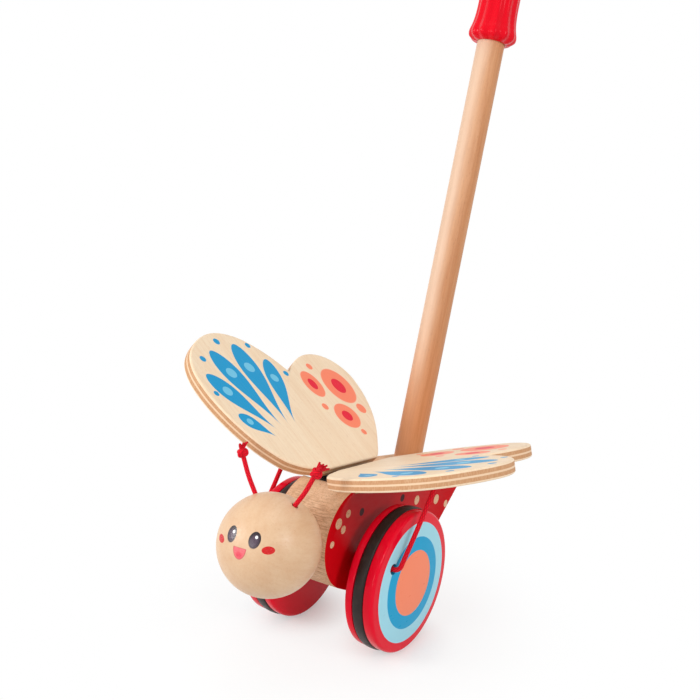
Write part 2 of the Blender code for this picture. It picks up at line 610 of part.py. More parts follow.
def make_rod_and_grip():
    rod = bmesh.new()
    rod_mesh(rod, rod_point(GAP - ROD_SOCKET), rod_point(ROD_REACH + GRIP_COVER), ROD_RADIUS, ROD_SIDES)
    round_edges(add_piece("push_rod", rod, material("rod_wood", ROD_WOOD)), ROD_END_EDGE)
    grip_axis = add_empty("grip_axis", rod_point(ROD_REACH), (-ROD_LEAN, 0, 0))
    bm = bmesh.new()
    rings = []
    for along, swell in GRIP_PROFILE_SHARES:
        bulge = (GRIP_BULB_RADIUS - GRIP_RIM_RADIUS) * max(swell - 1, 0)
        radius = GRIP_WAIST_RADIUS + (GRIP_RIM_RADIUS + bulge - GRIP_WAIST_RADIUS) * min(swell, 1)
        rings.append([bm.verts.new(flute_point(radius, along, step)) for step in range(GRIP_SIDES)])
    for lower, upper in zip(rings, rings[1:]):
        for step in range(GRIP_SIDES):
            following = (step + 1) % GRIP_SIDES
            bm.faces.new((lower[step], lower[following], upper[following], upper[step]))
    bm.faces.new(rings[0][::-1])
    bm.faces.new(rings[-1])
    grip = add_piece("grip", bm, material("grip_red", RED_GRIP), grip_axis)
    cut(grip, rod_cutter("grip_bore", (0, 0, -OVERRUN), (0, 0, GRIP_COVER + GAP), ROD_RADIUS + GAP, ROD_SIDES,
                         grip_axis))


def flute_point(radius, along, step):
    """A point of the grip's skin; the flutes fade out towards its round end."""
    angle = math.tau * step / GRIP_SIDES
    depth = GRIP_FLUTE * (1 - along)
    ridge = radius + depth * math.cos(GRIP_FLUTES * angle)
    return (ridge * math.cos(angle), ridge * math.sin(angle), GRIP_LENGTH * along)


clear_scene()
CUTTER = material("cutter", WOOD)
back_frame = make_body()
make_head()
make_wheels()
make_wing(back_frame, -1, "left", WING_RISE_LEFT)
make_wing(back_frame, 1, "right", WING_RISE_RIGHT)
make_pull_cord(-1, "left")
make_pull_cord(1, "right")
make_rod_and_grip()
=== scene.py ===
# %% [markdown]
# # A wooden push toy with two wings
# The toy is a block of beech on two red wheels. It has a ball for a head, two wings cut from plywood, and a
# long dowel with a red grip. When it rolls, cords that are tied through the wheels pull the wings down.
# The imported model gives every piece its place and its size. This script only gives the pieces their looks:
# rounder shapes, wood grain, paint, rubber and cord. Each piece is made in its own cell, and the cell before
# it says what the piece is and why it is made this way.

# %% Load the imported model
import math

import bmesh
import bpy
from mathutils import Matrix, Vector


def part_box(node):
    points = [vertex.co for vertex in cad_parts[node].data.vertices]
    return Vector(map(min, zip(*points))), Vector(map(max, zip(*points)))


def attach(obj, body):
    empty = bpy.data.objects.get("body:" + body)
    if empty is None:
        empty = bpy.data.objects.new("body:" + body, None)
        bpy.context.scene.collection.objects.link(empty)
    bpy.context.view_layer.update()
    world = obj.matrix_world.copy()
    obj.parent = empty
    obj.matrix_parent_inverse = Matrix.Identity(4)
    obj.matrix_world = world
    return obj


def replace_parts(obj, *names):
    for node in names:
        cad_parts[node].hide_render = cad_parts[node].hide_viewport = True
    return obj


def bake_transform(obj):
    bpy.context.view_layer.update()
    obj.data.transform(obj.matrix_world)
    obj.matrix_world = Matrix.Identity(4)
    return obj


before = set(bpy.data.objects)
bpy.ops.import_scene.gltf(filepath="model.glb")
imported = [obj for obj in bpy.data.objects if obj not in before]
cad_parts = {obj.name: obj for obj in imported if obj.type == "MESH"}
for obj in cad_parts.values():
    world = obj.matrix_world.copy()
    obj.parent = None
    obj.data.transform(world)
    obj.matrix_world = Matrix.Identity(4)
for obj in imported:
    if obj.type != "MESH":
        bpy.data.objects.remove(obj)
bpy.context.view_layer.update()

# %% [markdown]
# ## The camera
# The camera comes first, because every later choice is checked through it. It was matched to the wheels,
# the ball and the rod of the real toy. A camera looks along its own -Z with +Y up, so to_track_quat turns
# it to look back along the line from the toy to the lens.

# %% The camera
CAMERA_PLACE = Vector((0.3972, -0.5915, 0.4039))
CAMERA_AZIMUTH = math.radians(33.64)
CAMERA_HEIGHT_ANGLE = math.radians(18.17)
LENS_MM = 59.9

camera = bpy.data.objects.new("camera", bpy.data.cameras.new("camera"))
to_camera = Vector((math.sin(CAMERA_AZIMUTH) * math.cos(CAMERA_HEIGHT_ANGLE),
                    -math.cos(CAMERA_AZIMUTH) * math.cos(CAMERA_HEIGHT_ANGLE),
                    math.sin(CAMERA_HEIGHT_ANGLE)))
camera.location = CAMERA_PLACE
camera.rotation_euler = (-to_camera).to_track_quat("-Z", "Y").to_euler()
camera.data.lens = LENS_MM
camera.data.sensor_width = 36
camera.data.clip_start = 0.01
bpy.context.scene.collection.objects.link(camera)
bpy.context.scene.camera = camera
print("The lens is", LENS_MM, "mm")

# %% [markdown]
# ## The places that everything is set out from
# The lengths below repeat the model's own, in metres. The wings are set out from a line on the sloping
# back, so a small matrix carries a point from a wing's own flat drawing to its place on the toy. The first
# coordinate of that drawing runs out along the wing, the second to the tail, and the third up.

# %% Places and sizes
AXLE = Vector((0, 0, 0.018))
WHEEL_RADIUS, WHEEL_WIDTH, WHEEL_INNER_X = 0.048, 0.0212, 0.0307
WHEEL_OUTER_X = WHEEL_INNER_X + WHEEL_WIDTH
BODY_HALF = 0.021
CHEST_CENTRE, CHEST_RADIUS = Vector((0, -0.0202, 0.0502)), 0.034
HEAD_CENTRE, HEAD_RADIUS = Vector((0, -0.0842, 0.0671)), 0.0325
BACK_SLOPE = math.radians(12)
HINGE_START = Vector((0, -0.01304, 0.08375))
HINGE_HALF_SPACING = 0.0068
WING_RISE = {"left": math.radians(36.3), "right": math.radians(16)}
SIDES = {"left": -1, "right": 1}
WING_SPAN, WING_CHORD, WING_THICKNESS = 0.1262, 0.1625, 0.0086
STRIP_START, STRIP_END = -0.03 * WING_CHORD, 0.31 * WING_CHORD
ROD_MOUTH, ROD_LEAN, ROD_RADIUS = Vector((0, 0.0798, 0.0629)), math.radians(20.83), 0.010
ROD_ALONG = Vector((0, math.sin(ROD_LEAN), math.cos(ROD_LEAN)))
FIT = 0.0003             # the gap between two pieces that touch
FLOOR_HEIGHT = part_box("tyre_left")[0].z


def back_place(side=0):
    """The matrix from a drawing on the sloping back, about its middle or one hinge, to the toy."""
    hinge = HINGE_START + Vector((side * HINGE_HALF_SPACING, 0, 0))
    return Matrix.Translation(hinge) @ Matrix.Rotation(-BACK_SLOPE, 4, "X")


def wing_place(word):
    """The matrix from a wing's own drawing to the toy."""
    return back_place(SIDES[word]) @ Matrix.Rotation(-SIDES[word] * WING_RISE[word], 4, "Y")


def rod_place(point):
    """The matrix from an upright drawing about a point of the rod to the toy."""
    return Matrix.Translation(point) @ Matrix.Rotation(-ROD_LEAN, 4, "X")


print("The wheels stand on the floor at", round(FLOOR_HEIGHT * 1000, 1), "mm")

# %% [markdown]
# ## Building node trees
# A material is a small network of nodes. Typing out each node and each link takes many lines, so a Wire
# stands for the output of a node and can be used in sums: each sum adds the node that does it, in the
# tree that the wire is in. A colour is written as it looks on screen, from 0 to 255, and is turned into
# the linear light that Blender works in.

# %% Helpers for node trees
def colour(red, green, blue):
    """A screen colour as linear light with full alpha."""
    shares = [value / 255 for value in (red, green, blue)]
    return (*(s / 12.92 if s <= 0.04045 else ((s + 0.055) / 1.055) ** 2.4 for s in shares), 1.0)


def plug(node, sockets):
    """Fills a node's sockets with values, or joins wires to them."""
    for socket, value in sockets.items():
        if isinstance(value, Wire):
            node.id_data.links.new(value.socket, node.inputs[socket])
        else:
            node.inputs[socket].default_value = value


def add_node(kind, sockets, tree=None, **options):
    """Adds a node, sets its options and fills its sockets; a wire among them tells which tree it is for."""
    tree = tree or next(value.socket.id_data for value in sockets.values() if isinstance(value, Wire))
    node = tree.nodes.new(kind)
    for option, value in options.items():
        setattr(node, option, value)
    plug(node, sockets)
    return node


class Wire:
    """The output of a node, which can be used in sums as a number or a vector can."""

    def __init__(self, socket):
        self.socket = socket

    def maths(self, operation, *others, clamp=False):
        sockets = dict(enumerate((self, *others)))
        return Wire(add_node("ShaderNodeMath", sockets, operation=operation, use_clamp=clamp).outputs[0])

    def __add__(self, other):
        return self.maths("ADD", other)

    def __sub__(self, other):
        return self.maths("SUBTRACT", other)

    def __rsub__(self, other):
        return Wire(add_node("ShaderNodeMath", {0: other, 1: self}, operation="SUBTRACT").outputs[0])

    def __mul__(self, other):
        return self.maths("MULTIPLY", other)

    def __truediv__(self, other):
        return self.maths("DIVIDE", other)

    def vector_maths(self, operation, *others):
        """One sum with vectors; a dot product and a length are numbers."""
        node = add_node("ShaderNodeVectorMath", dict(enumerate((self, *others))), operation=operation)
        return Wire(node.outputs["Value" if operation in ("DOT_PRODUCT", "LENGTH") else "Vector"])

    def dot(self, other):
        return self.vector_maths("DOT_PRODUCT", other)

    def scaled(self, *factors):
        return self.vector_maths("MULTIPLY", factors)

    def parts(self):
        return [Wire(socket) for socket in add_node("ShaderNodeSeparateXYZ", {0: self}).outputs]


def mix_colours(factor, first, second):
    """The colour that lies at a share between two colours."""
    return Wire(add_node("ShaderNodeMix", {0: factor, 6: first, 7: second}, data_type="RGBA").outputs[2])


def brighten(ink, value):
    return Wire(add_node("ShaderNodeHueSaturation", {"Value": value, "Color": ink}).outputs[0])


def ramp_between(value, low, high, from_value=0.0, to_value=1.0):
    """Turns value into a share that runs from one value at low to another at high, with soft ends."""
    return Wire(add_node("ShaderNodeMapRange", {0: value, 1: low, 2: high, 3: from_value, 4: to_value},
                         interpolation_type="SMOOTHSTEP").outputs[0])


def noise(position, scale, detail=2.0, roughness=0.5):
    """Soft random values about one half."""
    return Wire(add_node("ShaderNodeTexNoise", {"Vector": position, "Scale": scale, "Detail": detail,
                                                "Roughness": roughness}).outputs[0])


print("Red paint is", colour(225, 28, 47)[:3], "in linear light")

# %% [markdown]
# ## Groups that several finishes share
# Wood grain, spots of paint, paint films, braid and plies turn up on many pieces. Each is a node group
# with named sockets, like a tool with knobs: it is built once, and each material sets its own values. A
# group puts out colours and plain values only. The shader that turns them into light stays in the
# material. Each group is drawn by a function that takes the group's inputs and gives back its outputs.

# %% Helpers for node groups
def make_group(name, inputs, draw):
    """A node group; its inputs are named values, and draw turns their wires into its named outputs."""
    group = bpy.data.node_groups.new(name, "ShaderNodeTree")
    for label, value in inputs.items():
        kind = "Float" if isinstance(value, float) else "Color" if len(value) == 4 else "Vector"
        socket = group.interface.new_socket(label, in_out="INPUT", socket_type="NodeSocket" + kind)
        socket.default_value = value
    entry = group.nodes.new("NodeGroupInput")
    answers = draw({socket.name: Wire(socket) for socket in entry.outputs})
    for label, wire in answers.items():
        group.interface.new_socket(label, in_out="OUTPUT", socket_type=wire.socket.bl_idname)
    plug(group.nodes.new("NodeGroupOutput"), answers)
    print(name, "has", len(group.nodes), "nodes")
    return group


def use_group(group, sockets):
    """Places a group in the tree of the wires that it is given, and gives back its outputs."""
    node = add_node("ShaderNodeGroup", sockets, node_tree=group)
    return {socket.name: Wire(socket) for socket in node.outputs}


print("Before the first one there are", len(bpy.data.node_groups), "groups")

# %% [markdown]
# ### Wood grain
# Beech is pale, with fine streaks along the grain, faint growth rings, and short dark flecks. An image of
# wood would smear over a ball or round an arris. Solid noise doesn't: it is stretched along one axis, and
# a face across the grain then shows dots where a face along it shows streaks, as sawn wood does.

# %% The wood grain group
def draw_wood_grain(given):
    position = given["Position"]
    stretched = position.scaled(1, 1, 0.045)
    streak = ramp_between(noise(stretched, 620, 4, 0.6), 0.38, 0.66)
    broad = ramp_between(noise(stretched, 95), 0.35, 0.68)
    spread = position.scaled(1, 1, 0.06).vector_maths("LENGTH")
    ring = ramp_between((spread * 1150 + noise(position, 22) * 9).maths("SINE"), 0.1, 1.0)
    fleck = ramp_between(noise(position.scaled(1, 1, 0.16), given["Fleck Scale"], 1), 0.62, 0.70)
    share = broad * given["Clouds"] + streak * given["Streaks"]
    share = share.maths("ADD", ring * given["Rings"], clamp=True)
    wood = mix_colours(share, given["Pale"], given["Dark"])
    return {"Color": mix_colours(fleck * given["Flecks"], wood, given["Fleck Color"]),
            "Height": streak * -0.6 + fleck * -0.5}


WOOD_GRAIN = make_group("wood_grain", {
    "Position": (0, 0, 0), "Pale": colour(240, 205, 170), "Dark": colour(205, 155, 110),
    "Fleck Color": colour(150, 95, 60), "Streaks": 0.5, "Flecks": 0.4, "Fleck Scale": 1500.0, "Rings": 0.3,
    "Clouds": 0.3}, draw_wood_grain)

# %% [markdown]
# ### Spots and drops of paint
# The face, the dots on the block and the print on the wings are flat shapes of paint. Each could be a thin
# piece of its own, but paint has no thickness to speak of, so a mask draws it. A spot measures how far a
# point lies from its centre along two directions, each in shares of its own half size. Below 1 is inside.
# A drop does the same along a line, with a width that swells and closes again.

# %% The spot and drop groups
def draw_spot(given):
    away = given["Position"].vector_maths("SUBTRACT", given["Centre"])
    wide = away.dot(given["Across"]) / given["Half Width"]
    high = away.dot(given["Up"]) / given["Half Height"]
    outward = given["Across"].vector_maths("CROSS_PRODUCT", given["Up"])
    soft, top = given["Softness"], given["Top"]
    inside = ramp_between((wide * wide + high * high).maths("SQRT"), 1 - soft, soft + 1, 1, 0)
    below = ramp_between(high, top - soft, top + soft, 1, 0)
    near = away.dot(outward).maths("ABSOLUTE").maths("LESS_THAN", given["Depth"])
    return {"Mask": inside * below * near}


def draw_drop(given):
    away = given["Position"].vector_maths("SUBTRACT", given["Root"])
    run = (away.dot(given["Along"]) / given["Length"]).maths("MAXIMUM", 0).maths("MINIMUM", 1)
    off = away.dot(given["Across"]) / given["Half Width"]
    swell = (run.maths("POWER", given["Belly"]) * math.pi).maths("SINE")
    width = swell.maths("MAXIMUM", 0).maths("POWER", run * -0.5 + 1)
    return {"Mask": ramp_between(width - off.maths("ABSOLUTE"), 0.0, 0.06)}


PAINTED_SPOT = make_group("painted_spot", {
    "Position": (0, 0, 0), "Centre": (0, 0, 0), "Across": (1, 0, 0), "Up": (0, 0, 1), "Half Width": 0.004,
    "Half Height": 0.004, "Top": 2.0, "Softness": 0.04, "Depth": 1.0}, draw_spot)
PAINTED_DROP = make_group("painted_drop", {
    "Position": (0, 0, 0), "Root": (0, 0, 0), "Along": (1, 0, 0), "Across": (0, 1, 0), "Length": 0.04,
    "Half Width": 0.006, "Belly": 1.4}, draw_drop)

# %% [markdown]
# ### A film of paint or lacquer
# Paint on wood is never one flat colour. It pools a little, its roughness changes, and the grain telegraphs
# through as a faint ripple. This group takes the paint's colour and gives back all three.

# %% The paint film group
def draw_paint_film(given):
    position = given["Position"]
    cloud = noise(position, 60, 3)
    ripple = noise(position.scaled(1, 0.3, 1), 420)
    shade = (cloud - 0.5) * given["Unevenness"] + 1
    rough = (ripple - 0.5) * 0.16 + given["Roughness"]
    return {"Color": brighten(given["Color"], shade), "Roughness": cloud * 0.05 + rough,
            "Height": cloud * 0.6 + ripple * 0.4}


PAINT_FILM = make_group("paint_film", {
    "Position": (0, 0, 0), "Color": colour(225, 28, 47), "Unevenness": 0.08, "Roughness": 0.25},
    draw_paint_film)

# %% [markdown]
# ### Braided cord
# The red cord is braided from yarns that cross in two slanting sets. Modelling each yarn would take
# thousands of faces. Each cord carries a UV map instead, with one turn round it as U and its length in
# metres as V, and the yarns are two sets of stripes that slant over it. Between the yarns the colour is
# darkened as painted shade.

# %% The braid group
def draw_braid(given):
    around, along, _ = given["UV"].parts()
    turns, rise = around * given["Yarns"], along / given["Pitch"]
    one, other = ((phase * math.pi).maths("SINE").maths("ABSOLUTE") for phase in (turns + rise, turns - rise))
    height = (one * other).maths("POWER", 0.5)
    fuzz = noise(given["Position"], 2600)
    # Painted shade: the colour is darker in the grooves between the yarns and lighter on their crowns.
    return {"Color": brighten(given["Color"], height * 0.5 + (fuzz * 0.3 + 0.45)),
            "Height": fuzz * 0.25 + height}


BRAID = make_group("braid", {"UV": (0, 0, 0), "Position": (0, 0, 0), "Color": colour(232, 10, 38),
                             "Yarns": 6.0, "Pitch": 0.0034}, draw_braid)

# %% [markdown]
# ### The plies of the wings
# Plywood is a stack of veneers with the grain turned by 90 degrees each time. At a planed edge the ones
# cut across the grain look brown, and the ones cut along it look pale. The group reads how high a point
# lies in the board, in shares of its thickness, and a little noise makes the glue lines wander.

# %% The plies group
def draw_plies(given):
    position = given["Position"]
    level = position.parts()[2] / given["Thickness"] + (noise(position, 30) * 0.03 - 0.015)
    off_middle = (level - 0.5).maths("ABSOLUTE")
    outer = ramp_between(off_middle, 0.335, 0.365)
    centre = ramp_between(off_middle, 0.055, 0.085, 1, 0)
    pores = ramp_between(noise(position.scaled(1, 1, 0.2), 1900), 0.40, 0.70, 0.0, 0.30)
    inner = mix_colours(centre, mix_colours(pores, given["Brown"], given["Pale"]), given["Pale"])
    return {"Color": mix_colours(outer, inner, given["Face Color"]), "Crosscut": (1 - outer) * (1 - centre)}


PLIES = make_group("plies", {
    "Position": (0, 0, 0), "Thickness": WING_THICKNESS, "Face Color": colour(248, 226, 196),
    "Pale": colour(238, 205, 170), "Brown": colour(200, 148, 106)}, draw_plies)

# %% [markdown]
# ## Starting a material
# Every material begins alike: a shader, the toy's Object coordinates, and a Mapping node that turns them so
# that the third one runs along the grain. A Mapping node set to TEXTURE takes a point back into a tilted
# piece's own frame, so the pattern sits square on the piece.

# %% Helpers that start a material
def own_frame(position, place, turn, size=(1, 1, 1)):
    """Takes a position back into the frame of a moved and turned piece."""
    sockets = {"Vector": position, "Location": place, "Rotation": turn, "Scale": size}
    return Wire(add_node("ShaderNodeMapping", sockets, vector_type="TEXTURE").outputs[0])


def start_material(name, place=(0, 0, 0), turn=(0, 0, 0), size=(1, 1, 1), **shader_values):
    """A new material, its shader, the toy's coordinates and the ones that its patterns read."""
    surface = bpy.data.materials.new(name)
    surface.use_nodes = True
    shader = surface.node_tree.nodes["Principled BSDF"]
    plug(shader, {socket.replace("_", " "): value for socket, value in shader_values.items()})
    here = Wire(add_node("ShaderNodeTexCoord", {}, surface.node_tree).outputs["Object"])
    return surface, shader, here, own_frame(here, place, turn, size)


GRAIN_DEPTH = 0.00006


def bump(height, distance=GRAIN_DEPTH):
    """The normal of a surface with a height, where 1 stands for the distance in metres."""
    return Wire(add_node("ShaderNodeBump", {"Height": height, "Distance": distance}).outputs[0])


def wooden(name, pale, dark, place, turn, roughness=0.5, settings=None, **shader_values):
    """Bare wood under a thin clear lacquer, with its grain and roughness given back for paint to go over."""
    surface, shader, here, position = start_material(name, place, turn, **shader_values)
    grain = use_group(WOOD_GRAIN, {"Position": position, "Pale": pale, "Dark": dark, **(settings or {})})
    rough = grain["Height"] * -0.15 + roughness
    plug(shader, {"Base Color": grain["Color"], "Roughness": rough, "Normal": bump(grain["Height"])})
    return surface, shader, here, grain, rough


print("Materials are started with", len(bpy.data.node_groups), "groups at hand")

# %% [markdown]
# ## Turning a bmesh into a piece
# Each new piece is shaped in a bmesh, where its points already have their final place, so that its object
# can stay at the origin. Doubles are merged before the normals are worked out, or a seam would leave
# them facing both ways. Wide flat faces get a narrow inset: it keeps the rounded edge's shading off them.

# %% Helpers for shapes
def link_object(name, mesh):
    thing = bpy.data.objects.new(name, mesh)
    bpy.context.scene.collection.objects.link(thing)
    return thing


def bmesh_object(bm, name):
    """Makes the bmesh a plain object."""
    mesh = bpy.data.meshes.new(name)
    bm.to_mesh(mesh)
    bm.free()
    return link_object(name, mesh)


def finish_piece(bm, name, surface, body, smooth_degrees=40):
    """Makes the bmesh an object that moves with a body of the model."""
    bmesh.ops.remove_doubles(bm, verts=bm.verts, dist=0.000002)
    bmesh.ops.recalc_face_normals(bm, faces=bm.faces)
    piece = bmesh_object(bm, name)
    piece.data.shade_smooth()
    piece.data.set_sharp_from_angle(angle=math.radians(smooth_degrees))
    piece.data.materials.append(surface)
    if body:
        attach(piece, body)
    return piece


def round_edges(bm, edges, width, segments=4):
    """Rounds edges to an arc."""
    bmesh.ops.bevel(bm, geom=edges, offset=width, segments=segments, profile=0.5, affect="EDGES",
                    clamp_overlap=True, material=-1)


def sharp_edges(bm, degrees=50):
    """The edges whose faces meet at more than this angle."""
    return [edge for edge in bm.edges if edge.is_manifold and edge.calc_face_angle(0) > math.radians(degrees)]


def keep_flats_flat(bm, area):
    """Insets the wide faces by a hair's breadth."""
    wide = [face for face in bm.faces if face.calc_area() > area]
    bmesh.ops.inset_individual(bm, faces=wide, thickness=0.0002)


def extrude_sheet(bm, faces, move):
    """Extrudes a flat sheet into a board."""
    grown = bmesh.ops.extrude_face_region(bm, geom=faces)["geom"]
    verts = [item for item in grown if isinstance(item, bmesh.types.BMVert)]
    bmesh.ops.translate(bm, verts=verts, vec=move)


def start_ring(bm, sides, radius, place):
    """A circle's points and edges, with a face that closes it."""
    ring = bmesh.ops.create_circle(bm, cap_ends=True, segments=sides, radius=radius, matrix=place)["verts"]
    return ring, list({edge for vert in ring for edge in vert.link_edges})


def extrude_ring(bm, edges):
    """Extrudes a ring of edges in place and gives back the new points and edges."""
    grown = bmesh.ops.extrude_edge_only(bm, edges=edges)["geom"]
    kinds = (bmesh.types.BMVert, bmesh.types.BMEdge)
    return ([item for item in grown if isinstance(item, kind)] for kind in kinds)


def spin_on_axle(profile, side, start, steps):
    """Spins (radius, distance outwards from start) points round the axle's line into a closed shape."""
    bm = bmesh.new()
    centre, way = AXLE + Vector((side * start, 0, 0)), Vector((side, 0, 0))
    points = [bm.verts.new(centre + way * along + Vector((0, 0, radius))) for radius, along in profile]
    edges = [bm.edges.new(pair) for pair in zip(points, points[1:])]
    if profile[0][0] > 0:
        edges.append(bm.edges.new((points[-1], points[0])))
    bmesh.ops.spin(bm, geom=points + edges, cent=centre, axis=way, angle=math.tau, steps=steps,
                   use_merge=True, use_normal_flip=False, use_duplicate=False)
    bmesh.ops.remove_doubles(bm, verts=bm.verts, dist=0.000002)
    bmesh.ops.recalc_face_normals(bm, faces=bm.faces)
    return bm


def carve(piece, cutters):
    """Cuts closed shapes out of a piece and keeps only the result."""
    for cutter in cutters:
        step = piece.modifiers.new("carve", "BOOLEAN")
        step.operation, step.solver, step.object = "DIFFERENCE", "EXACT", cutter
    shown = piece.evaluated_get(bpy.context.evaluated_depsgraph_get())
    mesh = bpy.data.meshes.new_from_object(shown)
    piece.modifiers.clear()
    piece.data = mesh
    for cutter in cutters:
        bpy.data.objects.remove(cutter, do_unlink=True)


def add_cylinder(bm, length, radius, sides, place):
    bmesh.ops.create_cone(bm, cap_ends=True, segments=sides, radius1=radius, radius2=radius, depth=length,
                          matrix=place)


def round_cutter(start, end, radius, sides=32):
    """A closed cylinder between two points, to carve with."""
    start, end = Vector(start), Vector(end)
    turn = (end - start).to_track_quat("Z", "Y").to_matrix().to_4x4()
    bm = bmesh.new()
    add_cylinder(bm, (end - start).length, radius, sides, Matrix.Translation((start + end) / 2) @ turn)
    return bmesh_object(bm, "cutter")


def box_cutter(low, high, place):
    """A closed box, to carve with."""
    size, middle = Vector(high) - Vector(low), (Vector(high) + Vector(low)) / 2
    bm = bmesh.new()
    bmesh.ops.create_cube(bm, size=1, matrix=place @ Matrix.Translation(middle) @ Matrix.Diagonal((*size, 1)))
    return bmesh_object(bm, "cutter")


def smooth_line(points, steps):
    """A Catmull-Rom curve through the points, ends kept."""
    chain = [Vector(point) for point in (points[0], *points, points[-1])]
    line = []
    for a, b, c, d in zip(chain, chain[1:], chain[2:], chain[3:]):
        for step in range(steps):
            t = step / steps
            line.append(0.5 * (2 * b + (c - a) * t + (2 * a - 5 * b + 4 * c - d) * t * t
                               + (3 * b - a - 3 * c + d) * t ** 3))
    return line + [Vector(points[-1])]


print("Helpers are ready")

# %% [markdown]
# ## The block
# The block is sawn from beech, seen from the side as a round chest, a sloping back and a tapering tail. Its
# edges are lightly rounded and its two sides are painted red, with round dots left bare. The chest is spun
# from one point, the other corners are joined on, and the flat shape is extruded across. Then the
# corners of the outline are rounded like arcs, and last the long edges, as a router would.

# %% The block's shape
CHEST_SLOPE, RUMP_SLOPE, TAIL_SLOPE = math.radians(32), math.radians(16), math.radians(32.4)
RUMP_START_Y = 0.069
HEEL = Vector((0.092, 0.0157))
BELLY_END_Y = 0.046
CORNER_ROUNDINGS = {"tip": 0.008, "heel": 0.004, "belly_end": 0.006, "belly_start": 0.006}
EDGE_ROUNDING, CHEST_STEPS, CORNER_STEPS = 0.0008, 64, 8


def towards(angle):
    return Vector((math.cos(angle), math.sin(angle)))


def crossing(first, first_angle, second, second_angle):
    """The point (y, z) where two lines of the outline cross."""
    run, other = towards(first_angle), towards(second_angle)
    return first + run * ((second - first).cross(other) / run.cross(other))


def make_block():
    centre = CHEST_CENTRE.yz
    start_angle, end_angle = math.radians(270) - CHEST_SLOPE, math.radians(90) - BACK_SLOPE
    chest_start, chest_end = (centre + CHEST_RADIUS * towards(angle) for angle in (start_angle, end_angle))
    rump = crossing(chest_end, -BACK_SLOPE, Vector((RUMP_START_Y, 0)), math.radians(90))
    corners = {"tip": crossing(rump, -RUMP_SLOPE, HEEL, TAIL_SLOPE), "heel": HEEL,
               "belly_end": Vector((BELLY_END_Y, 0)),
               "belly_start": crossing(chest_start, -CHEST_SLOPE, Vector((0, 0)), 0)}
    bm = bmesh.new()
    first = bm.verts.new((-BODY_HALF, *chest_start))
    bmesh.ops.spin(bm, geom=[first], cent=(-BODY_HALF, *centre), axis=(1, 0, 0),
                   angle=end_angle - start_angle, steps=CHEST_STEPS, use_merge=False, use_normal_flip=False,
                   use_duplicate=False)
    last = max(bm.verts, key=lambda vert: (vert.co.y, vert.co.z))
    loop = [last] + [bm.verts.new((-BODY_HALF, *point)) for point in (rump, *corners.values())] + [first]
    for pair in zip(loop, loop[1:]):
        bm.edges.new(pair)
    flat = bmesh.ops.edgeloop_fill(bm, edges=bm.edges)["faces"]
    extrude_sheet(bm, flat, (2 * BODY_HALF, 0, 0))
    for name, point in corners.items():
        edges = [edge for edge in bm.edges
                 if all((vert.co.yz - point).length < 0.00001 for vert in edge.verts)]
        half = (math.pi - edges[0].calc_face_angle()) / 2
        round_edges(bm, edges, CORNER_ROUNDINGS[name] / math.tan(half), CORNER_STEPS)
    bmesh.ops.recalc_face_normals(bm, faces=bm.faces)
    rims = [edge for edge in bm.edges if any(abs(face.normal.x) > 0.99 for face in edge.link_faces)]
    round_edges(bm, rims, EDGE_ROUNDING)
    keep_flats_flat(bm, 0.0009)
    return bm


block_bmesh = make_block()
print("The block has", len(block_bmesh.faces), "faces before it is carved")

# %% [markdown]
# ### The block's paint
# The sides are dipped in red down to the rounded edge, so the distance from the middle plane says where the
# paint is. The dots are bare wood, and two small ones are dark. The wood's grain runs along the block, and
# the round chest cuts across it: there its pores come in as short brown marks, more towards the front.

# %% The block's material
BEECH_PALE, BEECH_DARK = colour(240, 203, 168), colour(214, 162, 122)
SIDE_DOTS = (   # y, z, width
    (-0.0389, 0.0682, 0.0072), (-0.0279, 0.0708, 0.0055), (-0.0338, 0.0619, 0.0055),
    (-0.0465, 0.0567, 0.0046), (0.0593, 0.0459, 0.0067), (0.0875, 0.0354, 0.0072), (0.1018, 0.0263, 0.0053))
DARK_DOTS = ((-0.0121, 0.0657, 0.0055), (0.0394, 0.0554, 0.0055))
RED, DOT_RED, END_GRAIN = colour(204, 10, 22), colour(70, 18, 24), colour(150, 92, 60)
DIP_START, DIP_END = BODY_HALF - 0.0006, BODY_HALF - 0.0004


def spot_mask(position, centre, across, up, half_width, half_height, **more):
    """The mask of one painted spot."""
    sockets = {"Position": position, "Centre": centre, "Across": across, "Up": up,
               "Half Width": half_width, "Half Height": half_height}
    sockets.update({label.title(): value for label, value in more.items()})
    return use_group(PAINTED_SPOT, sockets)["Mask"]


def make_block_material():
    surface, shader, here, grain, rough = wooden(
        "block_beech", BEECH_PALE, BEECH_DARK, CHEST_CENTRE, (math.radians(-90), 0, 0), 0.5,
        {"Streaks": 0.25, "Flecks": 0.5, "Fleck Scale": 2300.0, "Rings": 0.12}, Specular_IOR_Level=0.02)
    side, along, _ = here.parts()
    marks = ramp_between(noise(here.scaled(0.13, 1, 1), 1250, 3, 0.6), 0.40, 0.66)
    front = ramp_between(along, CHEST_CENTRE.y - 0.002, CHEST_CENTRE.y - 0.026, 0.08, 0.48)
    wood = mix_colours(marks * front, grain["Color"], END_GRAIN)
    paint = ramp_between(side.maths("ABSOLUTE"), DIP_START, DIP_END)
    film = use_group(PAINT_FILM, {"Position": here, "Color": RED, "Roughness": 0.3, "Unevenness": 0.1})
    bare, dark = ([spot_mask(here, (0, y, z), (0, 1, 0), (0, 0, 1), size / 2, size / 2)
                   for y, z, size in dots] for dots in (SIDE_DOTS, DARK_DOTS))
    for dot in bare:
        paint = paint * (1 - dot)
    painted = film["Color"]
    for dot in dark:
        painted = mix_colours(dot, painted, DOT_RED)
    height = paint * 0.5 + grain["Height"] * (1 - paint * 0.85)
    plug(shader, {"Base Color": mix_colours(paint, wood, painted), "Normal": bump(height),
                  "Roughness": paint * (film["Roughness"] - rough) + rough})
    return surface


BLOCK_BEECH = make_block_material()
print("The block's paint has", len(SIDE_DOTS) + len(DARK_DOTS), "dots on each side")

# %% [markdown]
# ### Carving the block
# The sloping back is cut away under the wings, deeper at the sides, so that the strips lie flush, and a
# socket for the rod is bored into it. The cutters are plain closed shapes.

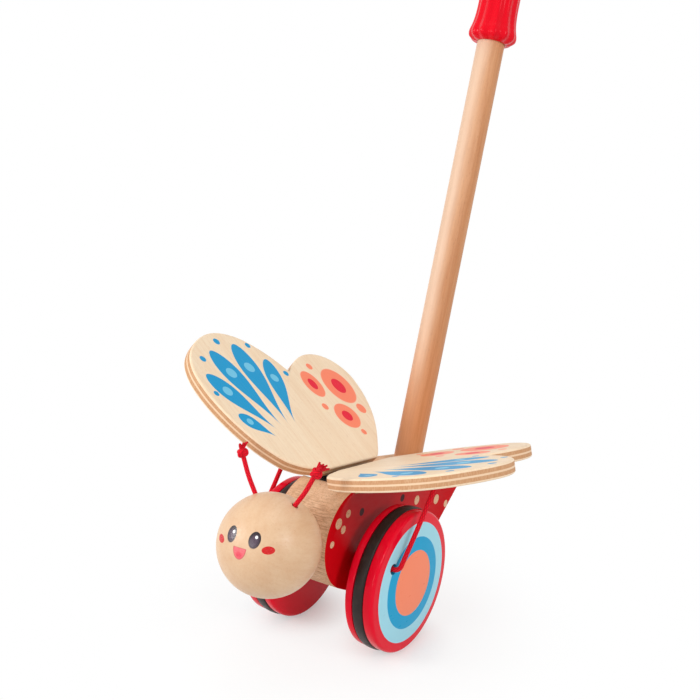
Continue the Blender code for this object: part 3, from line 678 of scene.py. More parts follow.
# %% Carve the block
STRIP_RECESSES = (   # from and to across the back, depth
    (-0.024, 0.024, -0.0024), (0.008, 0.024, -0.0038), (-0.024, -0.008, -0.0038))
RECESS_MARGIN, RECESS_TOP, ROD_SOCKET, SOCKET_TOP = 0.0012, 0.006, 0.030, 0.015


def make_block_cutters():
    start, end = STRIP_START - RECESS_MARGIN, STRIP_END + RECESS_MARGIN
    cutters = [box_cutter((low, start, depth), (high, end, RECESS_TOP), back_place())
               for low, high, depth in STRIP_RECESSES]
    socket = [ROD_MOUTH + ROD_ALONG * along for along in (-ROD_SOCKET, SOCKET_TOP)]
    return cutters + [round_cutter(*socket, ROD_RADIUS + FIT, 64)]


block = finish_piece(block_bmesh, "shaped_block", BLOCK_BEECH, "toy_body")
carve(block, make_block_cutters())
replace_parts(block, "body_block")
print("The block is", [round(value * 1000) for value in block.dimensions], "mm")

# %% [markdown]
# ## The ball and its face
# The head is a turned ball with a small flat where it is dowelled on, and two holes drilled for the cords.
# A UV sphere is the natural start, because its rings make the ball round in outline with few faces. A
# plane cuts the flat, and the hole that is left is filled.

# %% The ball's shape
NECK = (HEAD_CENTRE - CHEST_CENTRE).normalized()
NECK_FLAT = (HEAD_CENTRE - CHEST_CENTRE).length - CHEST_RADIUS - FIT
ANTENNA_BASE, ANTENNA_TIP = (0.0152, 0.0068, 0.0279), (0.0262, 0.0104, 0.0470)
ANTENNA_HOLE_DEPTH, ANTENNA_HOLE_TOP, ANTENNA_HOLE_RADIUS = 0.007, 0.006, 0.0021


def antenna_ends(side):
    """Where an antenna leaves the ball and where its knot begins."""
    return [HEAD_CENTRE + Vector((side * x, y, z)) for x, y, z in (ANTENNA_BASE, ANTENNA_TIP)]


def make_ball():
    bm = bmesh.new()
    bmesh.ops.create_uvsphere(bm, u_segments=112, v_segments=72, radius=HEAD_RADIUS,
                              matrix=Matrix.Translation(HEAD_CENTRE))
    cut = bmesh.ops.bisect_plane(bm, geom=bm.verts[:] + bm.edges[:] + bm.faces[:],
                                 plane_co=HEAD_CENTRE - NECK * NECK_FLAT, plane_no=-NECK, clear_outer=True)
    rim = [item for item in cut["geom_cut"] if isinstance(item, bmesh.types.BMEdge)]
    bmesh.ops.edgeloop_fill(bm, edges=rim)
    return bm


ball_bmesh = make_ball()
print("The ball has", len(ball_bmesh.faces), "faces")

# %% [markdown]
# ### The face
# The face is pad-printed: two oval eyes with a light low side and a white glint, two cheeks and an open
# smile. Every mark is a spot on the ball, placed by two angles, and drawn in the plane that touches the
# ball there. The eyes are three spots laid over each other, from the rim in.

# %% The ball's material
FACE_TURN = 2.9
EYE_BLACK, EYE_GREY, GLINT = colour(24, 12, 20), colour(76, 56, 74), colour(255, 255, 255)
CHEEK, MOUTH = colour(206, 0, 4), colour(242, 108, 116)
MOUTH_RIM, MOUTH_DEEP = colour(184, 66, 76), colour(228, 74, 92)


def face_frame(azimuth, elevation, lean):
    """A place on the ball and the directions across and up there; a lean turns them to the left."""
    turn, rise = math.radians(azimuth + FACE_TURN), math.radians(elevation)
    outward = Vector((math.sin(turn) * math.cos(rise), -math.cos(turn) * math.cos(rise), math.sin(rise)))
    across = Vector((math.cos(turn), math.sin(turn), 0))
    turned = Matrix.Rotation(math.radians(lean), 3, outward)
    return HEAD_CENTRE + outward * HEAD_RADIUS, turned @ across, turned @ outward.cross(across)


FACE_MARKS = (   # azimuth, elevation, lean, half width, half height, colour, other settings
    (-17.3, 31.8, 14, 0.0037, 0.0051, EYE_BLACK, {}),
    (-17.7, 30.4, 14, 0.0028, 0.0038, EYE_GREY, {"softness": 0.45}),
    (-15.4, 34.9, 0, 0.0009, 0.0010, GLINT, {"softness": 0.15}),
    (17.3, 31.8, -13, 0.0037, 0.0051, EYE_BLACK, {}),
    (16.9, 30.4, -13, 0.0028, 0.0038, EYE_GREY, {"softness": 0.45}),
    (19.4, 34.9, 0, 0.0009, 0.0010, GLINT, {"softness": 0.15}),
    (-34.1, 20.2, 0, 0.0040, 0.0024, CHEEK, {}),
    (34.1, 21.8, 0, 0.0040, 0.0024, CHEEK, {}),
    (0.0, 20.8, 0, 0.0046, 0.0068, MOUTH_RIM, {"top": 0.05, "softness": 0.06}),
    (0.0, 20.5, 0, 0.0042, 0.0063, MOUTH, {"top": 0.03, "softness": 0.08}),
    (0.2, 13.6, 0, 0.0022, 0.0018, MOUTH_DEEP, {"softness": 0.5}))


def make_ball_material():
    surface, shader, here, grain, rough = wooden(
        "ball_beech", colour(223, 187, 150), colour(204, 149, 105), HEAD_CENTRE + Vector((0.02, 0.03, 0.01)),
        (math.radians(62), math.radians(25), 0), 0.34,
        {"Streaks": 0.12, "Flecks": 0.10, "Rings": 0.05, "Clouds": 0.22}, Specular_IOR_Level=0.5)
    shown, printed = grain["Color"], 0.0
    for azimuth, elevation, lean, half_width, half_height, ink, more in FACE_MARKS:
        place = face_frame(azimuth, elevation, lean)
        mask = spot_mask(here, *place, half_width, half_height, depth=0.01, **more)
        shown = mix_colours(mask, shown, ink)
        printed = mask.maths("MAXIMUM", printed)
    plug(shader, {"Base Color": shown, "Roughness": printed * -0.12 + rough})
    return surface


ball = finish_piece(ball_bmesh, "ball_head", make_ball_material(), "toy_body")
holes = []
for side in SIDES.values():
    base, tip = antenna_ends(side)
    way = (tip - base).normalized()
    bottom, top = base - way * ANTENNA_HOLE_DEPTH, base + way * ANTENNA_HOLE_TOP
    holes.append(round_cutter(bottom, top, ANTENNA_HOLE_RADIUS))
carve(ball, holes)
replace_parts(ball, "head_ball")
print("The ball has", len(FACE_MARKS), "marks and", len(holes), "holes")

# %% [markdown]
# ## Cords
# A cord is a round section swept along a line. A curve object with a bevel would do, but its UV map isn't
# ours to choose. Here a circle is extruded from point to point, turned each time by the small angle
# between one direction and the next, so it never twists, and every face gets its U and V on the way.

# %% A helper that sweeps a tube
def sweep(bm, points, radii, sides=16):
    """Extrudes a circle along points; radii is one radius for each point."""
    uv = bm.loops.layers.uv.verify()
    points = [Vector(point) for point in points]
    ways = [(after - before).normalized() for before, after in zip(points, points[1:])]
    ways = [ways[0]] + [(a + b).normalized() for a, b in zip(ways, ways[1:])] + [ways[-1]]
    turn = ways[0].to_track_quat("Z", "Y").to_matrix().to_4x4()
    place = Matrix.Translation(points[0]) @ turn @ Matrix.Scale(radii[0], 4)
    ring, edges = start_ring(bm, sides, 1, place)
    number = {vert: index for index, vert in enumerate(ring)}
    along = 0.0
    for index in range(1, len(points)):
        verts, edges = extrude_ring(bm, edges)
        swing = ways[index - 1].rotation_difference(ways[index]).to_matrix().to_4x4()
        grow = Matrix.Scale(radii[index] / radii[index - 1], 4)
        move = Matrix.Translation(points[index]) @ swing @ grow @ Matrix.Translation(-points[index - 1])
        bmesh.ops.transform(bm, matrix=move, verts=verts)
        new_number = {}
        for vert in verts:
            old = next(edge.other_vert(vert) for edge in vert.link_edges if edge.other_vert(vert) in number)
            new_number[vert] = number[old]
        step = (points[index] - points[index - 1]).length
        for face in {face for vert in verts for face in vert.link_faces}:
            numbers = [new_number.get(loop.vert, number.get(loop.vert)) for loop in face.loops]
            wraps = max(numbers) - min(numbers) > sides / 2
            for loop, turned in zip(face.loops, numbers):
                turned = sides if wraps and turned == 0 else turned
                loop[uv].uv = (turned / sides, along + (step if loop.vert in new_number else 0))
        number = new_number
        along += step
    bmesh.ops.edgeloop_fill(bm, edges=edges)


def line_length(points):
    return sum((b - a).length for a, b in zip(points, points[1:]))


def make_cord_material():
    surface, shader, _, position = start_material("red_braided_cord", Roughness=0.7, Specular_IOR_Level=0.15,
                                                  Sheen_Weight=0.04, Sheen_Roughness=0.5)
    uv = Wire(add_node("ShaderNodeTexCoord", {}, surface.node_tree).outputs["UV"])
    braid = use_group(BRAID, {"UV": uv, "Position": position})
    plug(shader, {"Base Color": braid["Color"], "Normal": bump(braid["Height"], 0.0003)})
    return surface


def finish_cord(bm, name, body):
    """A piece of the red cord."""
    return finish_piece(bm, name, CORD, body)


CORD = make_cord_material()
print("The cord's material is", CORD.name)

# %% [markdown]
# ### Knots
# Each cord ends in an overhand knot, pulled tight. The centre line of such a knot is a trefoil, a curve
# that winds twice round while it rises and falls three times. Sweeping a thick tube along it, so thick that
# its turns sink into each other, gives the lumpy ball of a real knot with its three crossings.

# %% A helper that ties a knot
KNOT_STEPS = 72


def tie_knot(bm, centre, way, reach, cord_radius):
    """Adds a tight overhand knot round centre, with its axis along way."""
    place = Matrix.Translation(centre) @ Vector(way).to_track_quat("Z", "Y").to_matrix().to_4x4()
    unit = (reach - cord_radius) / 3
    line = []
    for step in range(KNOT_STEPS + 1):
        t = math.tau * step / KNOT_STEPS
        across, up = math.sin(t) + 2 * math.sin(2 * t), math.cos(t) - 2 * math.cos(2 * t)
        line.append(place @ Vector((unit * across, unit * up, -1.5 * unit * math.sin(3 * t))))
    sweep(bm, line, [cord_radius] * len(line), 12)


print("A knot is swept along", KNOT_STEPS, "steps")

# %% [markdown]
# ## The antennas
# Two short stiff cords stand out of the head. Their ends are knotted, and past the knot the yarns fray
# into a tuft. Each loose yarn is a thin swept tube that bends outwards, with its own lean. A fixed list of
# leans keeps the tuft the same every time the script runs.

# %% The antennas
TUFT_LEANS = ((0, 0.20), (52, 0.75), (104, 0.40), (150, 0.85), (205, 0.55), (250, 0.90), (305, 0.65))
ANTENNA_RADIUS, ANTENNA_SEAT, ANTENNA_BEND = 0.0015, 0.006, 0.00075
KNOT_REACH, KNOT_CORD, TUFT_REACH = 0.0040, 0.0017, 0.0064
YARN_START, YARN_SPREAD, YARN_DRIFT = 0.0006, 0.0036, Vector((0.0018, 0.0006, 0))
YARN = ((0.15, 0.0009), (0.45, 0.0009), (0.75, 0.00085), (1.0, 0.0006))   # share of its length, radius


def make_tuft(bm, heart, end, side):
    turn = end.to_track_quat("Z", "Y").to_matrix()
    for degrees, lean in TUFT_LEANS:
        out = turn @ towards(math.radians(degrees + 20 * side)).to_3d()
        points = [heart + end * (TUFT_REACH * share) + out * (YARN_START + YARN_SPREAD * lean * share * share)
                  + YARN_DRIFT * share * share for share, _ in YARN]
        sweep(bm, points, [radius for _, radius in YARN], 8)


def make_antenna(word):
    side = SIDES[word]
    base, tip = antenna_ends(side)
    foot = base - (tip - base).normalized() * ANTENNA_SEAT
    middle = (base + tip) / 2 + Vector((side * ANTENNA_BEND, 0, 0))
    end = (tip - middle).normalized()
    line = smooth_line([foot, base, middle, tip, tip + end * KNOT_REACH], 6)
    bm = bmesh.new()
    sweep(bm, line, [ANTENNA_RADIUS] * len(line))
    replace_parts(finish_cord(bm, "antenna_cord_" + word, "toy_body"), "antenna_" + word)
    bm = bmesh.new()
    heart = tip + end * (KNOT_REACH + 0.0001)
    tie_knot(bm, heart, end, KNOT_REACH, KNOT_CORD)
    make_tuft(bm, heart, end, side)
    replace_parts(finish_cord(bm, "antenna_tuft_" + word, "toy_body"), "antenna_knot_" + word)
    print("Antenna", word, "is", round(line_length(line) * 1000, 1), "mm of cord")


for word in SIDES:
    make_antenna(word)

# %% [markdown]
# ## The wheels
# Each wheel is turned from wood, with a groove for a rubber ring and a slightly domed outer face. Half of
# its section is drawn once and spun round the axle. The sharp corners are then rounded, the big ones on
# the rim by 2.2 mm and the small ones of the groove by a little, and the hole for the cord is bored.

# %% The wheels' shape
TYRE_START, TYRE_WIDTH, TYRE_DEPTH, DOME = 0.0059, 0.0084, 0.0040, 0.0022
WHEEL_EDGE, GROOVE_EDGE = 0.0022, 0.0003
AXLE_HOLE_RADIUS, AXLE_HOLE_DEPTH = 0.0053, 0.0143
CRANK, CRANK_ANGLE = 0.0317, math.radians(139.2)
HOLE = Vector((0, CRANK * math.cos(CRANK_ANGLE), CRANK * math.sin(CRANK_ANGLE))) + AXLE
HOLE_RADIUS = 0.0036
ROUNDED_RIMS = (   # from and to across the wheel, width, segments
    (-0.001, 0.0005, WHEEL_EDGE, 6), (0.0185, 0.03, WHEEL_EDGE, 6), (0.003, 0.016, GROOVE_EDGE, 2))


def make_wheel(side):
    flat_rim = WHEEL_RADIUS - WHEEL_EDGE - 0.0002
    shares = [n / 12 for n in range(13)]
    groove, groove_end = WHEEL_RADIUS - TYRE_DEPTH, TYRE_START + TYRE_WIDTH
    profile = [(flat_rim * share, WHEEL_WIDTH + DOME * (1 - share ** 2)) for share in shares]
    profile += [(WHEEL_RADIUS, WHEEL_WIDTH), (WHEEL_RADIUS, groove_end), (groove, groove_end),
                (groove, TYRE_START), (WHEEL_RADIUS, TYRE_START), (WHEEL_RADIUS, 0), (AXLE_HOLE_RADIUS, 0),
                (AXLE_HOLE_RADIUS, AXLE_HOLE_DEPTH), (0, AXLE_HOLE_DEPTH)]
    bm = spin_on_axle(profile, side, WHEEL_INNER_X, 144)
    for low, high, width, segments in ROUNDED_RIMS:
        rims = [edge for edge in sharp_edges(bm)
                if all(abs((vert.co - AXLE).yz.length - WHEEL_RADIUS) < 0.0001
                       and low < abs(vert.co.x) - WHEEL_INNER_X < high for vert in edge.verts)]
        round_edges(bm, rims, width, segments)
    return bm


wheel_bmeshes = {word: make_wheel(side) for word, side in SIDES.items()}
print("A wheel has", len(wheel_bmeshes["left"].faces), "faces")

# %% [markdown]
# ### The wheels' paint
# The wheels are glossy red all over, and the outer face carries three printed rings: pale blue, blue and
# coral. How far a point lies from the axle decides its ring. The print is drier than the paint round it,
# and its edges wander a little, because a printing pad never lands quite the same.

# %% The wheels' material
RINGS = ((0.0408, colour(166, 224, 240)), (0.0312, colour(18, 164, 212)), (0.0221, colour(255, 144, 108)))
WHEEL_RED, RING_EDGE = colour(235, 8, 42), 0.00012
FACE_START, FACE_END = WHEEL_OUTER_X - 0.0016, WHEEL_OUTER_X - 0.0010


def make_wheel_material():
    surface, shader, _, position = start_material("wheel_paint", AXLE, Specular_IOR_Level=0.10)
    side, along, up = position.parts()
    wander = noise(position, 140) * 0.0003 - 0.00015
    reach = (along * along + up * up).maths("SQRT") + wander
    outer = ramp_between(side.maths("ABSOLUTE"), FACE_START, FACE_END)
    shown, printed = WHEEL_RED, 0.0
    for radius, ink in RINGS:
        inside = ramp_between(reach, radius - RING_EDGE, radius + RING_EDGE, 1, 0) * outer
        shown = mix_colours(inside, shown, ink)
        printed = inside.maths("MAXIMUM", printed)
    film = use_group(PAINT_FILM, {"Position": position, "Color": shown, "Roughness": 0.12,
                                  "Unevenness": 0.06})
    plug(shader, {"Base Color": film["Color"], "Roughness": printed * 0.16 + film["Roughness"],
                  "Normal": bump(printed * 0.5 + film["Height"], 0.00005)})
    return surface


WHEEL_PAINT = make_wheel_material()
for word, side in SIDES.items():
    wheel = finish_piece(wheel_bmeshes[word], "turned_wheel_" + word, WHEEL_PAINT, "wheelset",
                         30)
    carve(wheel, [round_cutter((side * 0.02, *HOLE.yz), (side * 0.07, *HOLE.yz), HOLE_RADIUS, 40)])
    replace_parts(wheel, "wheel_" + word)
    print(wheel.name, "has", len(wheel.data.polygons), "faces")

# %% [markdown]
# ## The rubber rings
# A ring of black rubber in each groove lets the wheels grip. It is a rounded band, spun as the wheels are.
# Moulded rubber is matt and a little brown, picks up dust, and has fine lines round it from the mould.

# %% The rubber rings
def make_rubber(name, base, line_centre):
    surface, shader, _, position = start_material(name, line_centre, Specular_IOR_Level=0.25)
    lines = (position.parts()[0] * 9000).maths("SINE")
    dust = ramp_between(noise(position, 240, 4, 0.6), 0.45, 0.75)
    plug(shader, {"Base Color": mix_colours(dust * 0.16, base, colour(96, 84, 78)),
                  "Roughness": dust * 0.2 + 0.4,
                  "Normal": bump(lines * 0.25 + noise(position, 2200), 0.00005)})
    return surface


TYRE_PROUD, TYRE_CROWN, TYRE_EDGE = 0.0007, 0.0006, 0.0011


def make_tyre(side):
    inside, outside = WHEEL_RADIUS - TYRE_DEPTH + FIT, WHEEL_RADIUS + TYRE_PROUD
    start, end = TYRE_START + FIT, TYRE_START + TYRE_WIDTH - FIT
    crown = [(outside - TYRE_CROWN * abs(share) ** 3, (start + end) / 2 + share * (end - start) / 2)
             for share in (1, 0.7, 0.35, 0, -0.35, -0.7, -1)]
    bm = spin_on_axle([(inside, end), *crown, (inside, start)], side, WHEEL_INNER_X, 144)
    rims = [edge for edge in sharp_edges(bm)
            if all((vert.co - AXLE).yz.length > WHEEL_RADIUS - 0.001 for vert in edge.verts)]
    round_edges(bm, rims, TYRE_EDGE, 5)
    return bm


RUBBER = make_rubber("tyre_black_rubber", colour(38, 27, 25), AXLE)
for word, side in SIDES.items():
    tyre = finish_piece(make_tyre(side), "rubber_ring_" + word, RUBBER, "wheelset", 50)
    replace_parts(tyre, "tyre_" + word)
    print(tyre.name, "has", len(tyre.data.polygons), "faces")

# %% [markdown]
# ## Axle, spacers and dowel
# Two wooden washers keep the wheels off the block, and the axle and the neck's dowel are plain hardwood.
# The washers show, so they are spun again with rounded edges. The axle and the dowel are hidden but for
# a sliver, so their own shapes stay and only their finish changes.

# %% Axle, spacers and dowel
SPACER_PROFILE = (   # radius, distance from the block
    (0.0055, 0.0094), (0.012, 0.0094), (0.012, 0.0003), (0.0055, 0.0003))
TURNED_WOOD = wooden("spacer_beech", BEECH_PALE, BEECH_DARK, AXLE, (0, math.radians(90), 0), 0.5,
                     {"Rings": 0.5})[0]


def refinish(node, surface):
    """Gives a piece of the model a new material and keeps its shape."""
    node.data.materials.clear()
    node.data.materials.append(surface)


for word, side in SIDES.items():
    bm = spin_on_axle(SPACER_PROFILE, side, BODY_HALF, 72)
    round_edges(bm, sharp_edges(bm), 0.0005, 3)
    spacer = finish_piece(bm, "turned_spacer_" + word, TURNED_WOOD, "toy_body")
    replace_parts(spacer, "axle_spacer_" + word)
for node in ("axle", "head_dowel"):
    refinish(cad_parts[node], TURNED_WOOD)
print("Spacers, axle and dowel share one wood")

# %% [markdown]
# ## The wings
# Each wing is one board of plywood, sawn to a large lobe in front and a smaller one behind, with a notch
# between them and every edge rounded. The outline is a list of points in shares of the wing's length and
# width, joined by a smooth curve. It is filled as one face, extruded to the board's thickness, and rounded.

# %% The wings' shape
FRONT_LOBE = (
    (-0.035, 0.000), (-0.095, 0.022), (-0.155, 0.045), (-0.205, 0.078), (-0.245, 0.118), (-0.308, 0.232),
    (-0.356, 0.385), (-0.379, 0.530), (-0.381, 0.640), (-0.366, 0.745), (-0.324, 0.842), (-0.255, 0.918),
    (-0.186, 0.964), (-0.112, 0.991), (-0.035, 0.988), (0.045, 0.950), (0.112, 0.880), (0.171, 0.785),
    (0.220, 0.666))
REAR_LOBE = (
    (0.220, 0.666), (0.278, 0.712), (0.343, 0.753), (0.412, 0.776), (0.480, 0.775), (0.545, 0.748),
    (0.598, 0.694), (0.632, 0.616), (0.638, 0.540), (0.622, 0.430), (0.580, 0.305), (0.512, 0.185),
    (0.430, 0.080), (0.378, 0.020), (0.350, 0.000))
ROOT_GAP, WING_EDGE, CURVE_STEPS = 0.0010, 0.0016, 5


def wing_curve(lobe, side):
    points = [(side * (ROOT_GAP + WING_SPAN * span), WING_CHORD * chord, 0) for chord, span in lobe]
    return smooth_line(points, CURVE_STEPS)


def make_wing(word):
    side = SIDES[word]
    bm = bmesh.new()
    outline = wing_curve(FRONT_LOBE, side) + wing_curve(REAR_LOBE, side)[1:]
    board = bm.faces.new([bm.verts.new(point) for point in outline])
    extrude_sheet(bm, [board], (0, 0, WING_THICKNESS))
    bmesh.ops.recalc_face_normals(bm, faces=bm.faces)
    round_edges(bm, sharp_edges(bm, 35), WING_EDGE, 5)
    keep_flats_flat(bm, 0.004)
    bmesh.ops.transform(bm, matrix=wing_place(word), verts=bm.verts)
    return bm


wing_bmeshes = {word: make_wing(word) for word in SIDES}
print("A wing has", len(wing_bmeshes["left"].faces), "faces")

# %% [markdown]
# ### The wings' print
# The top of each wing is printed with plain bold shapes. In front, five blue drops fan out from the root,
# each with a round pale dot in its head, and blue dots stand between the heads and past the last one.
# Behind are three coral rounds with red hearts, and four small coral dots. The print is one group that
# both wings use, drawn in the wing's own flat frame.

# %% The print group
PRINT_BLUE, PRINT_PALE = colour(4, 152, 206), colour(112, 196, 228)
PRINT_CORAL, PRINT_RED = colour(252, 136, 102), colour(232, 0, 48)
FAN_CENTRE = Vector((0.014, -0.012, 0))
DROPS = (   # direction in degrees, start and end from the fan's centre, half width
    (-43, 0.024, 0.056, 0.0058), (-27, 0.023, 0.086, 0.0086), (-10.5, 0.022, 0.098, 0.0096),
    (6, 0.022, 0.101, 0.0096), (21, 0.024, 0.090, 0.0078))
HEAD_SHARE, HEAD_DOT_SHARE, HEART_SHARE = 0.72, 0.46, 0.42
EDGE_DOTS = (   # direction in degrees, distance from the fan's centre, radius
    (-35.5, 0.074, 0.0022), (-19, 0.095, 0.0026), (-2.5, 0.104, 0.0028), (14, 0.101, 0.0024),
    (31, 0.081, 0.0024))
ROUNDS = (   # x, y, half width, half height
    (0.066, 0.078, 0.0170, 0.0150), (0.071, 0.0500, 0.0125, 0.0090), (0.0390, 0.0600, 0.0115, 0.0120))
ROUND_DOTS = (   # x, y, radius
    (0.0430, 0.0830, 0.0046), (0.0870, 0.0620, 0.0030), (0.0500, 0.0435, 0.0030), (0.0230, 0.0640, 0.0026))


def covering(masks):
    """One mask that covers what any of several masks covers."""
    whole = 0.0
    for mask in masks:
        whole = mask.maths("MAXIMUM", whole)
    return whole


def draw_wing_print(given):
    position = given["Position"]

    def spot(centre, half_width, half_height, share=1.0):
        return spot_mask(position, centre, (1, 0, 0), (0, 1, 0), half_width * share, half_height * share)

    shown, blues = PRINT_BLUE, []
    for degrees, near, far, half_width in DROPS:
        way = towards(math.radians(degrees)).to_3d()
        drop = use_group(PAINTED_DROP, {
            "Position": position, "Root": FAN_CENTRE + way * near, "Along": way, "Across": (-way.y, way.x, 0),
            "Length": far - near, "Half Width": half_width, "Belly": 2.1})
        blues.append(drop["Mask"])
        head = FAN_CENTRE + way * (near + (far - near) * HEAD_SHARE)
        shown = mix_colours(spot(head, half_width, half_width, HEAD_DOT_SHARE), shown, PRINT_PALE)
    for degrees, reach, radius in EDGE_DOTS:
        blues.append(spot(FAN_CENTRE + towards(math.radians(degrees)).to_3d() * reach, radius, radius))
    corals = [spot((x, y, 0), half_width, half_height) for x, y, half_width, half_height in ROUNDS]
    corals += [spot((x, y, 0), radius, radius) for x, y, radius in ROUND_DOTS]
    coral = covering(corals)
    shown = mix_colours(coral.maths("GREATER_THAN", 0.001), shown, PRINT_CORAL)
    for x, y, half_width, half_height in ROUNDS:
        shown = mix_colours(spot((x, y, 0), half_width, half_height, HEART_SHARE), shown, PRINT_RED)
    above = position.parts()[2].maths("GREATER_THAN", given["Thickness"] * 0.9)
    return {"Color": shown, "Mask": covering(blues).maths("MAXIMUM", coral) * above}


WING_PRINT = make_group("wing_print", {"Position": (0, 0, 0), "Thickness": WING_THICKNESS}, draw_wing_print)

# %% [markdown]
# ### The wings' material
# The faces are a pale veneer with a quiet grain along the wing, under a thin lacquer. The edges show
# the plies. The Mapping node turns the toy's coordinates back into the wing's own drawing, and a size of
# -1 mirrors the left wing, so one print serves both.

# %% The wings' material
VENEER = {"Pale": colour(248, 226, 196), "Dark": colour(238, 206, 170), "Fleck Color": colour(200, 150, 110),
          "Streaks": 0.35, "Flecks": 0.2, "Rings": 0.10}


def make_wing_material(word):
    place = wing_place(word)
    surface, shader, _, position = start_material(
        "wing_plywood_" + word, place.to_translation(), place.to_euler(), (SIDES[word], 1, 1),
        Specular_IOR_Level=0.15)
    along = own_frame(position, (0, 0, 0), (0, math.radians(90), 0))
    grain = use_group(WOOD_GRAIN, {"Position": along, **VENEER})
    board = {"Position": position, "Thickness": WING_THICKNESS}
    plies = use_group(PLIES, {**board, "Face Color": grain["Color"]})
    ink = use_group(WING_PRINT, board)
    plug(shader, {"Base Color": mix_colours(ink["Mask"], plies["Color"], ink["Color"]),
                  "Roughness": ink["Mask"] * -0.06 + (plies["Crosscut"] * 0.2 + 0.45),
                  "Normal": bump(ink["Mask"] * 0.3 + grain["Height"], 0.00004)})
    return surface


for word in SIDES:
    wing = finish_piece(wing_bmeshes[word], "plywood_wing_" + word, make_wing_material(word), word + "_wing")
    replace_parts(wing, "wing_" + word)
    print(wing.name, "rises by", round(math.degrees(WING_RISE[word]), 1), "degrees")

# %% [markdown]
# ## The hinge strips and their tacks
# The wings hang on two black flexible strips, tacked to the back and to the undersides of the wings. They
# bend at the hinge when the wings flap. Each is a grid, fine across the bend, which is laid flat on
# the back, curved up along the wing's underside, and then given its thickness.

# %% The hinge strips
STRIP_THICKNESS, STRIP_FLAP, STRIP_BEND, STRIP_GAP = 0.0018, 0.0150, 0.0016, 0.00015
STRIP_RUBBER = make_rubber("strip_black_rubber", colour(22, 20, 20), HINGE_START)


def strip_point(across, rise):
    """A point on the strip's top, across it from the back (negative) to the wing (positive)."""
    if across < -STRIP_BEND:
        return across, 0.0
    if across > STRIP_BEND:
        return across * math.cos(rise), across * math.sin(rise)
    share = (across + STRIP_BEND) / (2 * STRIP_BEND)
    return across - (1 - math.cos(rise)) * STRIP_BEND * share ** 2, STRIP_BEND * math.sin(rise) * share ** 2


def make_strip(word):
    side = SIDES[word]
    inner, outer = -HINGE_HALF_SPACING + STRIP_GAP, STRIP_FLAP
    bm = bmesh.new()
    bmesh.ops.create_grid(bm, x_segments=44, y_segments=16, size=0.5)
    for vert in bm.verts:
        across = inner + (outer - inner) * (vert.co.x + 0.5)
        along = STRIP_START + (STRIP_END - STRIP_START) * (vert.co.y + 0.5)
        x, z = strip_point(across, WING_RISE[word])
        vert.co = (side * x, along, z)
    if side < 0:
        bmesh.ops.reverse_faces(bm, faces=bm.faces)
    bmesh.ops.translate(bm, verts=bm.verts, vec=(0, 0, -FIT))
    bmesh.ops.solidify(bm, geom=bm.faces[:], thickness=STRIP_THICKNESS)
    bmesh.ops.transform(bm, matrix=back_place(side), verts=bm.verts)
    return bm


for word, side in SIDES.items():
    strip = finish_piece(make_strip(word), "flexible_strip_" + word, STRIP_RUBBER, None, 50)
    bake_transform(strip)
    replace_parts(strip, "hinge_strip_" + word)
    low, high = (Vector(map(f, *(vert.co for vert in strip.data.vertices))) for f in (min, max))
    print(strip.name, "is", [round(value * 1000, 1) for value in high - low], "mm")

# %% [markdown]
# ### The tacks
# The tacks' shapes in the model are right, so only their steel is made here: bright, with darker stains
# that are also a little duller. Metal has no colour of its own under its reflections, so the base colour
# is the colour of the reflection.

# %% The tacks
steel, steel_shader, _, steel_position = start_material("tack_bright_steel", Metallic=1.0)
stain = noise(steel_position, 900, 3)
steel_ink = mix_colours(ramp_between(stain, 0.45, 0.75), colour(205, 206, 208), colour(140, 136, 132))
plug(steel_shader, {"Base Color": steel_ink, "Roughness": stain * 0.3 + 0.18, "Normal": bump(stain, 0.00003)})
tacks = [node for name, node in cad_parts.items() if "_tack_" in name]
for tack in tacks:
    refinish(tack, steel)
print(len(tacks), "tacks are steel")

# %% [markdown]
# ## The pull cords
# A cord is knotted behind each wheel, runs out through the hole, bends up, and ends in a seat under the
# wing. Its lower end turns with the wheel and its upper end moves with the wing, and no joint joins
# those two. So it is made in two lengths that meet halfway.

# %% The pull cords
CORD_RADIUS, BEND_RADIUS, BEND_STEPS, SEAT_DEPTH = 0.0016, 0.0040, 8, 0.0042
STRAIGHT_START, SAG = 0.0016, Vector((0, 0, -0.001))
SEAT_OUT, SEAT_BACK = 0.0538, 0.0317
WHEEL_KNOT_BACK, WHEEL_KNOT_REACH = 0.0036, 0.0043


def cord_route(word):
    """The free cord's points, from the wheel's face to its seat in the wing."""
    side, place = SIDES[word], wing_place(word)
    mouth = Vector((side * WHEEL_OUTER_X, *HOLE.yz))
    seat = place @ Vector((side * SEAT_OUT, SEAT_BACK, 0))
    inward = place.to_3x3() @ Vector((0, 0, 1))
    out = Vector((side, 0, 0))
    pull = seat - mouth
    pull = (pull - out * pull.dot(out)).normalized()
    centre = mouth + pull * BEND_RADIUS + out * CORD_RADIUS
    turns = [math.radians(90) * n / BEND_STEPS for n in range(BEND_STEPS + 1)]
    bend = [centre + (out * math.sin(turn) - pull * math.cos(turn)) * BEND_RADIUS for turn in turns]
    approach = seat - inward * BEND_RADIUS
    start = bend[-1] + pull * STRAIGHT_START
    free = smooth_line([bend[-1], start, start.lerp(approach, 0.33) + SAG, start.lerp(approach, 0.67) + SAG,
                        approach, seat], 8)
    return bend + free[1:] + [seat + inward * SEAT_DEPTH], mouth


def split_line(points, length):
    """Cuts a line in two at a length from its start."""
    run = 0.0
    for index, (a, b) in enumerate(zip(points, points[1:])):
        step = (b - a).length
        if run + step >= length:
            middle = a.lerp(b, (length - run) / step)
            return points[:index + 1] + [middle], [middle] + points[index + 1:]
        run += step


def cord_piece(name, points):
    bm = bmesh.new()
    sweep(bm, points, [CORD_RADIUS] * len(points))
    return finish_cord(bm, name, None)


